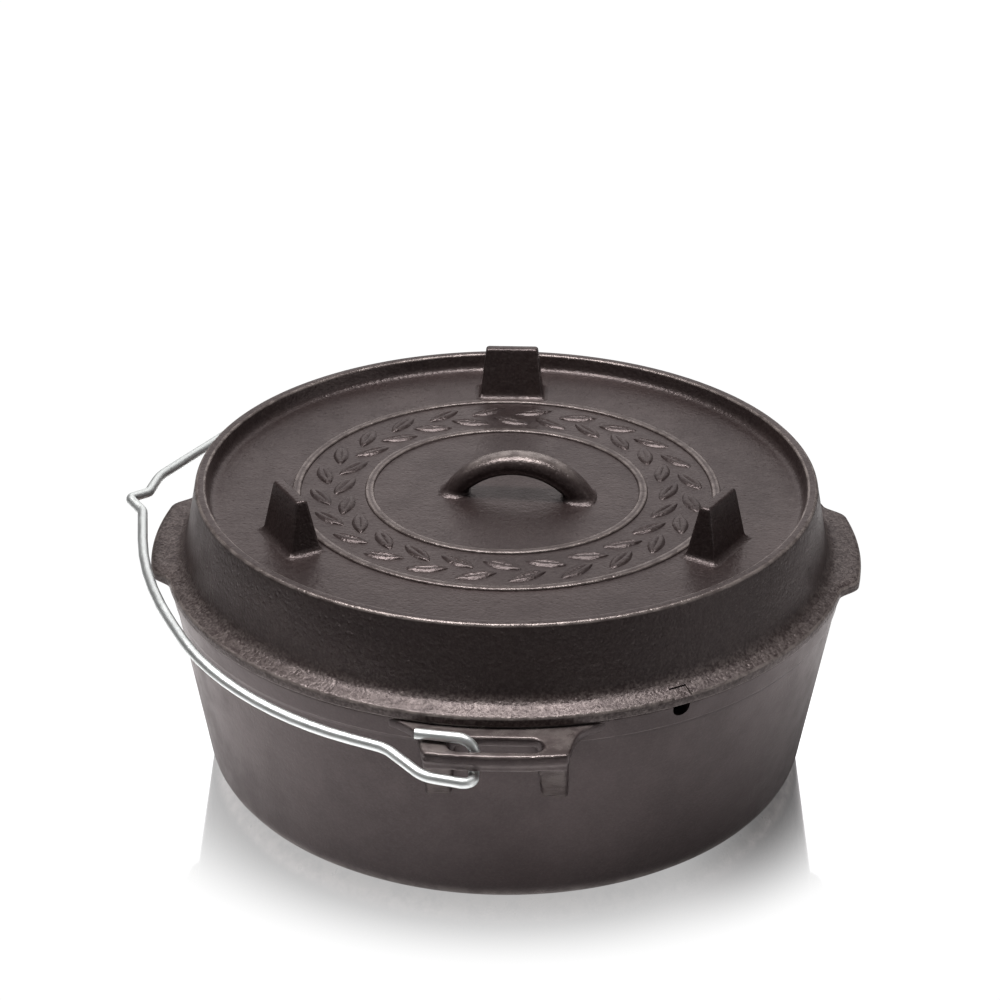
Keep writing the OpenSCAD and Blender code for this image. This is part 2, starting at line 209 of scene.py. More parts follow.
def box_mesh(name: str, low: Corner, high: Corner) -> Mesh:
    """Make a box.

    Args:
        name: Name of the mesh.
        low: Its lowest corner.
        high: Its highest corner.

    Returns:
        The mesh.
    """
    (x0, y0, z0), (x1, y1, z1) = low, high
    corners = [(x, y, z) for x in (x0, x1) for y in (y0, y1) for z in (z0, z1)]
    faces = [(0, 1, 3, 2), (4, 6, 7, 5), (0, 4, 5, 1), (2, 3, 7, 6), (0, 2, 6, 4), (1, 5, 7, 3)]
    return tidy_normals(mesh_of(name, np.array(corners), faces))


def trim(obj: Object, cutter: Object, way: Cut) -> Mesh:
    """Trim one closed solid by another; both objects are used up.

    Args:
        obj: The solid.
        cutter: The solid that trims it.
        way: How it trims.

    Returns:
        The trimmed mesh.
    """
    change = obj.modifiers.new("trim", "BOOLEAN")
    change.operation = way.value
    change.solver = "EXACT"
    change.object = cutter
    mesh = plain_copy(obj)
    bpy.data.objects.remove(cutter, do_unlink=True)
    return mesh


def joined(name: str, meshes: Sequence[Mesh], smooth_angle: float) -> Object:
    """Join meshes into one object in the scene, smooth up to an angle.

    Args:
        name: Name of the object.
        meshes: The meshes.
        smooth_angle: Angle in degrees above which an edge stays sharp.

    Returns:
        The object.
    """
    work = bmesh.new()
    for mesh in meshes:
        work.from_mesh(mesh)
    whole = bpy.data.meshes.new(name)
    work.to_mesh(whole)
    work.free()
    whole.shade_smooth()
    whole.set_sharp_from_angle(angle=math.radians(smooth_angle))
    return put(name, whole)


# Outlines


def corner_arc(before: np.ndarray, at: np.ndarray, after: np.ndarray, radius: float,
               steps: int) -> list[np.ndarray]:
    """Round one corner of an outline.

    Args:
        before: Point before the corner.
        at: The corner.
        after: Point after the corner.
        radius: Radius of the rounding.
        steps: Number of chords in the arc.

    Returns:
        Points of the arc, in order.
    """
    u = (before - at) / np.linalg.norm(before - at)
    v = (after - at) / np.linalg.norm(after - at)
    turn = math.acos(float(np.clip(u @ v, -1, 1)))
    if turn > math.pi - STRAIGHT:
        return [at]
    bisector = (u + v) / np.linalg.norm(u + v)
    centre = at + bisector * radius / math.sin(turn / 2)
    first, last = (at + w * radius / math.tan(turn / 2) - centre for w in (u, v))
    sweep = math.pi - turn
    points = []
    for k in range(steps + 1):
        a = math.sin((1 - k / steps) * sweep) / math.sin(sweep)
        b = math.sin(k / steps * sweep) / math.sin(sweep)
        points.append(centre + first * a + last * b)
    return points


def nowhere(r: float, z: float) -> float:
    """Rule of an outline that is 0 at every radius and height."""
    return 0.0


@dataclass
class Profile:
    """Open outline of a turned piece, from axis to axis.

    Each corner is (radius from the axis, height, rounding).
    """

    corners: Sequence[Corner]
    arc_steps: int = 7
    longest_chord: float = 9.0
    edge_chord: float = 1.1

    def points(self) -> tuple[np.ndarray, np.ndarray]:
        """Work out the rounded outline.

        Returns:
            Points (radius, height), and how much each one lies on a rounded outer edge.
        """
        flat = [np.array(c[:2], float) for c in self.corners]
        rows: list[np.ndarray] = []
        wear: list[float] = []
        for i, corner in enumerate(self.corners):
            inner = 0 < i < len(self.corners) - 1
            if inner and corner[2] > 0:
                arc = corner_arc(*flat[i - 1:i + 2], corner[2], self.arc_steps)
                a, b = flat[i] - flat[i - 1], flat[i + 1] - flat[i]
                convex = a[0] * b[1] - a[1] * b[0] > 0
                rows += arc
                wear += [math.sin(math.pi * k / (len(arc) - 1)) if convex else 0.0
                         for k in range(len(arc))]
            else:
                rows.append(flat[i])
                wear.append(0.0)
        return self.with_chords(rows, wear)

    def with_chords(self, rows: list[np.ndarray],
                    wear: list[float]) -> tuple[np.ndarray, np.ndarray]:
        """Split long stretches, with a short chord beside each end.

        Args:
            rows: Points of the outline.
            wear: Edge value of each point.

        Returns:
            The points and edge values with the new points among them.
        """
        points, values = [rows[0]], [wear[0]]
        for p, q, w in zip(rows[:-1], rows[1:], wear[1:]):
            length = float(np.linalg.norm(q - p))
            if length > 3 * self.edge_chord:
                count = max(1, math.ceil((length - 2 * self.edge_chord) / self.longest_chord))
                for distance in np.linspace(self.edge_chord, length - self.edge_chord, count + 1):
                    points.append(p + (q - p) * distance / length)
                    values.append(0.0)
            points.append(q)
            values.append(w)
        return np.array(points), np.array(values)

    def line(self, name: str, reach: Rule = nowhere, coarse: Rule = nowhere) -> Mesh:
        """Lay the outline out as a line of points with its attributes.

        Args:
            name: Name of the mesh.
            reach: How far a point is drawn out into a grip, from its radius and height.
            coarse: How coarse the grain is there, from its radius and height.

        Returns:
            The line as a mesh.
        """
        points, wear = self.points()
        places = np.column_stack([points[:, 0], np.zeros(len(points)), points[:, 1]])
        return line_mesh(name, places, wear=wear, reach=[reach(r, z) for r, z in points],
                         coarse=[coarse(r, z) for r, z in points])


# Node trees


def open_socket(tree: NodeTree, name: str, kind: str, way: str = "INPUT",
                value: Optional[Number] = None) -> None:
    """Give a tree a named socket.

    Args:
        tree: The tree.
        name: Name of the socket.
        kind: Its type, such as Float.
        way: INPUT or OUTPUT.
        value: First value of an input.
    """
    socket = tree.interface.new_socket(name=name, in_out=way, socket_type="NodeSocket" + kind)
    if value is not None:
        socket.default_value = value


class Sketch:
    """Adds nodes to one tree and joins them."""

    def __init__(self, tree: NodeTree) -> None:
        """Start with a tree."""
        self.tree = tree

    def add(self, kind: str, **settings: Any) -> Node:
        """Add a node.

        Args:
            kind: The node's type.
            **settings: Properties of the node.

        Returns:
            The node.
        """
        node = self.tree.nodes.new(kind)
        for key, value in settings.items():
            setattr(node, key, value)
        return node

    def feed(self, socket: NodeSocket, value: Value) -> None:
        """Join a socket to an input, or set the input to a constant.

        Args:
            socket: The input.
            value: The socket that feeds it, or the constant.
        """
        if isinstance(value, NodeSocket):
            self.tree.links.new(value, socket)
        else:
            socket.default_value = value

    def node(self, kind: str, inputs: dict[Union[str, int], Value], **settings: Any) -> Node:
        """Add a node and feed its inputs.

        Args:
            kind: The node's type.
            inputs: Input name or number to socket or constant.
            **settings: Properties of the node.

        Returns:
            The node.
        """
        made = self.add(kind, **settings)
        for key, value in inputs.items():
            self.feed(made.inputs[key], value)
        return made

    def math(self, operation: str, a: Value, b: Value = 0.0) -> NodeSocket:
        """Add a math node and return its result."""
        return self.node("ShaderNodeMath", {0: a, 1: b}, operation=operation).outputs[0]

    def times(self, a: Value, b: Value) -> NodeSocket:
        """Multiply two values and return the result."""
        return self.math("MULTIPLY", a, b)

    def blend(self, a: Value, b: Value, parts: tuple[float, float]) -> NodeSocket:
        """Add two values, each times its own part, and return the sum."""
        return self.math("ADD", self.times(a, parts[0]), self.times(b, parts[1]))

    def ramp(self, value: Value, low: Value, high: Value, to_low: float = 0.0,
             to_high: float = 1.0, kind: str = "SMOOTHSTEP") -> NodeSocket:
        """Map a range of a value onto another and return the result."""
        inputs = {0: value, 1: low, 2: high, 3: to_low, 4: to_high}
        return self.node("ShaderNodeMapRange", inputs, interpolation_type=kind).outputs[0]

    def length(self, vector: Value) -> NodeSocket:
        """Measure a vector and return its length."""
        return self.node("ShaderNodeVectorMath", {0: vector}, operation="LENGTH").outputs["Value"]

    def polar(self, radius: Value, angle: Value, height: Value) -> NodeSocket:
        """Turn a radius, an angle about Z and a height into a position."""
        x, y = (self.times(radius, self.math(way, angle)) for way in ("COSINE", "SINE"))
        return self.node("ShaderNodeCombineXYZ", {"X": x, "Y": y, "Z": height}).outputs[0]

    def mixed(self, factor: Value, low: Value, high: Value) -> NodeSocket:
        """Mix two colours.

        Args:
            factor: Share of the second colour.
            low: The first colour, or a socket that gives it.
            high: The second one.

        Returns:
            The mixed colour.
        """
        first, second, result = 6, 7, 2
        node = self.node("ShaderNodeMix", {"Factor": factor}, data_type="RGBA")
        for key, colour in ((first, low), (second, high)):
            self.feed(node.inputs[key], (*colour, 1.0) if isinstance(colour, tuple) else colour)
        return node.outputs[result]

    def attribute(self, name: str) -> NodeSocket:
        """Read one of the mesh's own attributes in a material."""
        return self.add("ShaderNodeAttribute", attribute_name=name).outputs["Fac"]

    def surface(self, shader: Node) -> None:
        """Put a shader out as the material's surface."""
        self.node("ShaderNodeOutputMaterial", {"Surface": shader.outputs[0]})


class GeometryTree:
    """A Geometry Nodes tree with named inputs, and a way to run it on a mesh."""

    KINDS = {int: "Int", float: "Float"}

    def __init__(self, name: str, sizes: dict[str, Number]) -> None:
        """Make the tree with a geometry input, its sizes and a material.

        Args:
            name: Name of the tree.
            sizes: Name of each size and its first value.
        """
        self.tree = bpy.data.node_groups.new(name, "GeometryNodeTree")
        self.tree.is_modifier = True
        open_socket(self.tree, "Geometry", "Geometry")
        for label, value in sizes.items():
            open_socket(self.tree, label, self.KINDS[type(value)], value=value)
        open_socket(self.tree, "Material", "Material")
        open_socket(self.tree, "Geometry", "Geometry", "OUTPUT")
        self.sketch = Sketch(self.tree)
        self.given = self.sketch.add("NodeGroupInput").outputs

    def stored(self, geometry: NodeSocket, name: str, value: NodeSocket) -> NodeSocket:
        """Store a field on the points under a name and return the geometry."""
        inputs = {"Geometry": geometry, "Name": name, "Value": value}
        return self.sketch.node("GeometryNodeStoreNamedAttribute", inputs, data_type="FLOAT",
                                domain="POINT").outputs[0]

    def end(self, geometry: NodeSocket) -> "GeometryTree":
        """Realise what comes in, set its material and put it out.

        Args:
            geometry: What comes in.

        Returns:
            The finished tree.
        """
        s = self.sketch
        real = s.node("GeometryNodeRealizeInstances", {"Geometry": geometry}).outputs[0]
        dressed = s.node("GeometryNodeSetMaterial",
                         {"Geometry": real, "Material": self.given["Material"]})
        s.node("NodeGroupOutput", {"Geometry": dressed.outputs[0]})
        return self

    def run(self, mesh: Mesh, material: Material, **sizes: Number) -> Mesh:
        """Run the tree on a mesh.

        Args:
            mesh: What goes in.
            material: Material of the result.
            **sizes: Values of the tree's sizes, with underscores for spaces.

        Returns:
            The result as a plain mesh.
        """
        obj = put(self.tree.name, mesh)
        change = obj.modifiers.new(self.tree.name, "NODES")
        change.node_group = self.tree
        wanted = {key.replace("_", " "): value for key, value in sizes.items()}
        wanted["Material"] = material
        for item in self.tree.interface.items_tree:
            if item.item_type == "SOCKET" and item.in_out == "INPUT" and item.name in wanted:
                change[item.identifier] = wanted[item.name]
        return plain_copy(obj)


def turning_tree() -> GeometryTree:
    """Build the tree that turns an outline about Z and draws out two grips.

    Returns:
        The tree. It takes a line of points in order, with the attributes reach, wear and coarse.
    """
    made = GeometryTree("turned_casting", {
        "Segments": 512, "Grip Reach": 0.0, "Grip Half Width": 0.03, "Grip Flare": 0.006,
        "Grip Radius": 0.155})
    s, given = made.sketch, made.given
    outline = given["Geometry"]
    count = s.node("GeometryNodeAttributeDomainSize", {"Geometry": outline}).outputs["Point Count"]
    columns = s.math("ADD", given["Segments"], 1)
    shell = s.node("GeometryNodeMeshGrid",
                   {"Vertices X": columns, "Vertices Y": count}).outputs["Mesh"]
    index = s.add("GeometryNodeInputIndex").outputs[0]
    row = s.math("MODULO", index, count)
    column = s.math("FLOOR", s.math("DIVIDE", s.math("ADD", index, 0.5), count))

    def sampled(kind: str, value: NodeSocket) -> NodeSocket:
        """Read a field of the outline at this row."""
        inputs = {"Geometry": outline, "Value": value, "Index": row}
        return s.node("GeometryNodeSampleIndex", inputs, data_type=kind, domain="POINT").outputs[0]

    def named(name: str) -> NodeSocket:
        """Read one of the outline's own attributes at this row."""
        node = s.node("GeometryNodeInputNamedAttribute", {"Name": name}, data_type="FLOAT")
        return sampled("FLOAT", node.outputs["Attribute"])

    point = sampled("FLOAT_VECTOR", s.add("GeometryNodeInputPosition").outputs[0])
    place = s.node("ShaderNodeSeparateXYZ", {0: point}).outputs
    angle = s.times(s.math("DIVIDE", column, given["Segments"]), FULL_TURN)
    across = s.times(s.math("ABSOLUTE", s.math("SINE", angle)), given["Grip Radius"])
    ends = [s.math(way, given["Grip Half Width"], given["Grip Flare"])
            for way in ("ADD", "SUBTRACT")]
    drawn = s.times(s.times(s.ramp(across, *ends), given["Grip Reach"]), named("reach"))
    position = s.polar(s.math("ADD", place["X"], drawn), angle, place["Z"])
    for name, value in [(name, named(name)) for name in ("wear", "coarse")]:
        shell = made.stored(shell, name, value)
    shell = s.node("GeometryNodeSetPosition", {"Geometry": shell, "Position": position}).outputs[0]
    seam = s.node("GeometryNodeMergeByDistance", {"Geometry": shell, "Distance": TINY})
    return made.end(seam.outputs[0])


def ring_tree() -> GeometryTree:
    """Build the tree that repeats a shape around the Z axis.

    Returns:
        The tree. The shape's own X axis points outwards.
    """
    made = GeometryTree("ring_of_pieces",
                        {"Count": 3, "Radius": 0.1, "Height": 0.0, "First Angle": 0.0})
    s, given = made.sketch, made.given
    index = s.add("GeometryNodeInputIndex").outputs[0]
    step = s.math("DIVIDE", FULL_TURN, given["Count"])
    angle = s.math("ADD", s.times(index, step), given["First Angle"])
    position = s.polar(given["Radius"], angle, given["Height"])
    points = s.node("GeometryNodePoints", {"Count": given["Count"], "Position": position})
    turned = s.node("FunctionNodeEulerToRotation",
                    {0: s.node("ShaderNodeCombineXYZ", {"Z": angle}).outputs[0]})
    ring = s.node("GeometryNodeInstanceOnPoints",
                  {"Points": points.outputs[0], "Instance": given["Geometry"],
                   "Rotation": turned.outputs[0]})
    return made.end(ring.outputs[0])


def wire_tree() -> GeometryTree:
    """Build the tree that runs a round wire along a line of points.

    Returns:
        The tree. Its result has the attribute along, the length from the wire's start.
    """
    made = GeometryTree("bent_wire", {"Wire Radius": 0.002, "Sides": 20})
    s, given = made.sketch, made.given
    curve = s.node("GeometryNodeMeshToCurve", {"Mesh": given["Geometry"]}).outputs[0]
    curve = made.stored(curve, "along", s.add("GeometryNodeSplineParameter").outputs["Length"])
    section = s.node("GeometryNodeCurvePrimitiveCircle",
                     {"Resolution": given["Sides"], "Radius": given["Wire Radius"]})
    wire = s.node("GeometryNodeCurveToMesh",
                  {"Curve": curve, "Profile Curve": section.outputs[0], "Fill Caps": True})
    return made.end(wire.outputs[0])


# Finishes


class ShaderGroup:
    """A shader node group with named inputs and outputs."""

    def __init__(self, name: str, inputs: dict[str, float], outputs: Sequence[str]) -> None:
        """Make the group.

        Args:
            name: Name of the group.
            inputs: Name and first value of each input.
            outputs: Name of each output.
        """
        self.tree = bpy.data.node_groups.new(name, "ShaderNodeTree")
        for label, value in inputs.items():
            open_socket(self.tree, label, "Float", value=value)
        for label in outputs:
            open_socket(self.tree, label, "Float", "OUTPUT")
        self.sketch = Sketch(self.tree)
        self.given = self.sketch.add("NodeGroupInput").outputs
        self.place = self.sketch.add("ShaderNodeTexCoord").outputs["Object"]

    def noise(self, scale: Value, detail: float, roughness: float) -> NodeSocket:
        """Add noise on object coordinates and return its value."""
        inputs = {"Vector": self.place, "Scale": scale, "Detail": detail, "Roughness": roughness}
        return self.sketch.node("ShaderNodeTexNoise", inputs).outputs[0]

    def end(self, **outputs: NodeSocket) -> NodeTree:
        """Put out the group's results and return its tree."""
        self.sketch.node("NodeGroupOutput", outputs)
        return self.tree


@dataclass(frozen=True)
class SandGrain:
    """Sand grain of a casting: fine and broad noise, with pits.

    A noise is (detail, roughness). A pair of parts is for the fine and for the broad noise.
    """

    density: float = 1200.0
    pits: float = 0.3
    broad_share: float = 0.42
    fine_noise: tuple[float, float] = (3.0, 0.6)
    broad_noise: tuple[float, float] = (2.0, 0.5)
    pit_size: float = 0.35
    height_parts: tuple[float, float] = (0.55, 0.6)
    top_parts: tuple[float, float] = (0.7, 0.3)
    top_range: tuple[float, float] = (0.36, 0.72)

    def group(self) -> NodeTree:
        """Build the shader group.

        Returns:
            A group with the height of the grain and a mask of its bright tops.
        """
        group = ShaderGroup("cast_grain", {"Density": self.density, "Pits": self.pits},
                            ("Height", "Tops"))
        s = group.sketch
        fine = group.noise(group.given["Density"], *self.fine_noise)
        broad_density = s.times(group.given["Density"], self.broad_share)
        broad = group.noise(broad_density, *self.broad_noise)
        cells = s.node("ShaderNodeTexVoronoi", {"Vector": group.place, "Scale": broad_density,
                                                "Randomness": 1.0}).outputs[0]
        pits = s.times(s.ramp(cells, 0.0, self.pit_size, 1.0, 0.0), group.given["Pits"])
        height = s.math("SUBTRACT", s.blend(fine, broad, self.height_parts), pits)
        tops = s.ramp(s.blend(fine, broad, self.top_parts), *self.top_range)
        return group.end(Height=height, Tops=tops)


@dataclass(frozen=True)
class OilFilm:
    """Uneven film of baked oil on iron: wide clouds and finer streaks.

    A noise is (detail, roughness). Parts are given in the order of the blend.
    """

    spread: float = 14.0
    streak_share: float = 5.5
    wide_noise: tuple[float, float] = (3.0, 0.55)
    streak_noise: tuple[float, float] = (4.0, 0.6)
    wide_range: tuple[float, float] = (0.35, 0.68)
    streak_range: tuple[float, float] = (0.35, 0.7)
    tone_parts: tuple[float, float] = (0.65, 0.35)
    gloss_parts: tuple[float, float] = (0.5, 0.5)
    gloss_range: tuple[float, float] = (0.38, 0.62)

    def group(self) -> NodeTree:
        """Build the shader group.

        Returns:
            A group with the tone of the film and where it has dried glossier.
        """
        group = ShaderGroup("seasoning_film", {"Spread": self.spread}, ("Tone", "Gloss"))
        s = group.sketch
        wide = group.noise(group.given["Spread"], *self.wide_noise)
        streak = group.noise(s.times(group.given["Spread"], self.streak_share),
                             *self.streak_noise)
        tone = s.blend(s.ramp(wide, *self.wide_range), s.ramp(streak, *self.streak_range),
                       self.tone_parts)
        gloss = s.ramp(s.blend(streak, wide, self.gloss_parts), *self.gloss_range)
        return group.end(Tone=tone, Gloss=gloss)


@dataclass(frozen=True)
class EdgeRubAndLight:
    """Worn edges and painted light, broken up by noise.

    The noise is (detail, roughness).
    """

    density: float = 160.0
    noise: tuple[float, float] = (3.0, 0.55)
    broken_range: tuple[float, float, float, float] = (0.34, 0.62, 0.35, 1.0)
    edge_range: tuple[float, float] = (0.15, 0.95)

    def group(self) -> NodeTree:
        """Build the shader group.

        Returns:
            A group that turns an edge value into a mask.
        """
        group = ShaderGroup("edge_rub_and_light", {"Edge": 0.0, "Break": self.density}, ("Mask",))
        s = group.sketch
        broken = s.ramp(group.noise(group.given["Break"], *self.noise), *self.broken_range)
        return group.end(Mask=s.times(s.ramp(group.given["Edge"], *self.edge_range), broken))


def blank_material(name: str) -> tuple[Material, Sketch]:
    """Make a material without nodes.

    Args:
        name: Name of the material.

    Returns:
        The material, and a sketch to add its nodes with.
    """
    made = bpy.data.materials.new(name)
    made.use_nodes = True
    made.node_tree.nodes.clear()
    return made, Sketch(made.node_tree)


@dataclass(frozen=True)
class SeasonedIron:
    """Seasoned cast iron with sand grain, an uneven film of oil and worn pale edges; the same pale
    colour also paints light and highlights where the mesh marks them.

    A pair of values is for the fine and for the coarse grain.
    """

    name: str
    dark: Colour
    pale: Colour
    # Pale colour of worn edges and grain tops, also used for painted light and highlights.
    worn_and_lit: Colour
    grain_density: float
    grain_depth: float
    smooth: float
    dull: float
    grain_light: tuple[float, float] = (0.09, 0.45)
    grain_height: tuple[float, float] = (0.7, 0.8)
    bump: float = 0.6
    wear_and_light_cover: float = 0.7
    rub_shine: float = 0.08
    coarse_dull: float = 0.08
    metal: float = 0.3
    specular: float = 0.75
    specular_tint: tuple[float, float, float, float] = (1.0, 0.86, 0.85, 1.0)

    def material(self, groups: dict[str, NodeTree]) -> Material:
        """Build the material.

        Args:
            groups: The shared shader groups by name.

        Returns:
            The material.
        """
        made, s = blank_material(self.name)
        coarse = s.attribute("coarse")
        grain = s.node("ShaderNodeGroup", {}, node_tree=groups["grain"])
        s.feed(grain.inputs["Density"], self.grain_density)
        film = s.node("ShaderNodeGroup", {}, node_tree=groups["film"])
        # The edge attribute read here holds real worn edges and also painted light and highlights
        # on the ear and the loop's crest; both mix in the pale colour.
        rub = s.node("ShaderNodeGroup", {}, node_tree=groups["rub"])
        s.feed(rub.inputs["Edge"], s.attribute("wear"))
        mask = rub.outputs["Mask"]
        base = s.mixed(film.outputs["Tone"], self.dark, self.pale)
        lit = s.times(grain.outputs["Tops"], s.ramp(coarse, 0.0, 1.0, *self.grain_light))
        base = s.mixed(lit, base, self.worn_and_lit)
        # Worn edges and painted light turn the iron pale here.
        base = s.mixed(s.times(mask, self.wear_and_light_cover), base, self.worn_and_lit)
        rough = s.ramp(film.outputs["Gloss"], 0.0, 1.0, self.dull, self.smooth, "LINEAR")
        rough = s.math("ADD", rough, s.times(coarse, self.coarse_dull))
        rough = s.math("SUBTRACT", rough, s.times(mask, self.rub_shine))
        depth = s.ramp(coarse, 0.0, 1.0, *self.grain_height, "LINEAR")
        bump = s.node("ShaderNodeBump", {"Strength": self.bump, "Distance": self.grain_depth,
                                         "Height": s.times(grain.outputs["Height"], depth)})
        s.surface(s.node("ShaderNodeBsdfPrincipled", {
            "Base Color": base, "Roughness": rough, "Metallic": self.metal,
            "Specular IOR Level": self.specular, "Specular Tint": self.specular_tint,
            "Normal": bump.outputs[0]}))
        return made


@dataclass(frozen=True)
class ZincWire:
    """Bright zinc on drawn steel wire."""

    name: str
    bright: Colour
    dull: Colour
    streak_density: float
    depth: float
    streak_detail: float = 3.0
    film_spread: float = 90.0
    grain_density: float = 1500.0
    pits: float = 0.1
    tone_parts: tuple[float, float] = (0.6, 0.4)
    roughness: tuple[float, float] = (0.5, 0.4)
    bump: float = 0.25

    def material(self, groups: dict[str, NodeTree]) -> Material:
        """Build the material.

        Args:
            groups: The shared shader groups by name.

        Returns:
            The material.
        """
        made, s = blank_material(self.name)
        film = s.node("ShaderNodeGroup", {}, node_tree=groups["film"])
        s.feed(film.inputs["Spread"], self.film_spread)
        grain = s.node("ShaderNodeGroup", {}, node_tree=groups["grain"])
        s.feed(grain.inputs["Density"], self.grain_density)
        s.feed(grain.inputs["Pits"], self.pits)
        streaks = s.node("ShaderNodeTexNoise", {"W": s.attribute("along"),
                                                "Detail": self.streak_detail,
                                                "Scale": self.streak_density},
                         noise_dimensions="1D").outputs[0]
        tone = s.blend(film.outputs["Tone"], streaks, self.tone_parts)
        rough = s.ramp(film.outputs["Gloss"], 0.0, 1.0, *self.roughness, "LINEAR")
        bump = s.node("ShaderNodeBump", {
            "Strength": self.bump, "Distance": self.depth,
            "Height": s.math("ADD", grain.outputs["Height"], streaks)})
        s.surface(s.node("ShaderNodeBsdfPrincipled", {
            "Base Color": s.mixed(tone, self.dull, self.bright), "Roughness": rough,
            "Metallic": 1.0, "Normal": bump.outputs[0]}))
        return made


POT_IRON = SeasonedIron(
    "seasoned_pot", dark=(0.025, 0.016, 0.017), pale=(0.04, 0.027, 0.028), worn_and_lit=(0.2, 0.17, 0.16),
    grain_density=1000.0, grain_depth=0.0003, smooth=0.33, dull=0.44)
LID_IRON = SeasonedIron(
    "seasoned_lid", dark=(0.019, 0.012, 0.012), pale=(0.032, 0.021, 0.02),
    worn_and_lit=(0.26, 0.22, 0.205), grain_density=800.0, grain_depth=0.0009, smooth=0.29, dull=0.4)
BAIL_ZINC = ZincWire("zinc_wire", bright=(0.92, 0.93, 0.92), dull=(0.8, 0.82, 0.81),
                     streak_density=120.0, depth=0.00002)


# Sub-assemblies


@dataclass
class Workshop:
    """Shared trees and materials."""

    turning: GeometryTree
    ring: GeometryTree
    wire: GeometryTree
    pot_iron: Material
    lid_iron: Material
    zinc: Material

    @classmethod
    def open(cls) -> "Workshop":
        """Build the trees and materials.

        Returns:
            The workshop.
        """
        groups = {"grain": SandGrain().group(), "film": OilFilm().group(),
                  "rub": EdgeRubAndLight().group()}
        finishes = (finish.material(groups) for finish in (POT_IRON, LID_IRON, BAIL_ZINC))
        return cls(turning_tree(), ring_tree(), wire_tree(), *finishes)


def finish_piece(piece: Object, body: Body, slot: Slot, material: Material,
                 *nodes: str) -> Object:
    """Dress a piece, put it on its body and let it stand for its CAD nodes.

    Args:
        piece: The piece.
        body: The body that it rides on.
        slot: The record's slot for its finish. Not used.
        material: Its material.
        *nodes: The CAD nodes that it replaces.

    Returns:
        The piece.
    """
    piece.data.materials.clear()
    piece.data.materials.append(material)
    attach(piece, body.value)
    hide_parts(*nodes)
    return piece


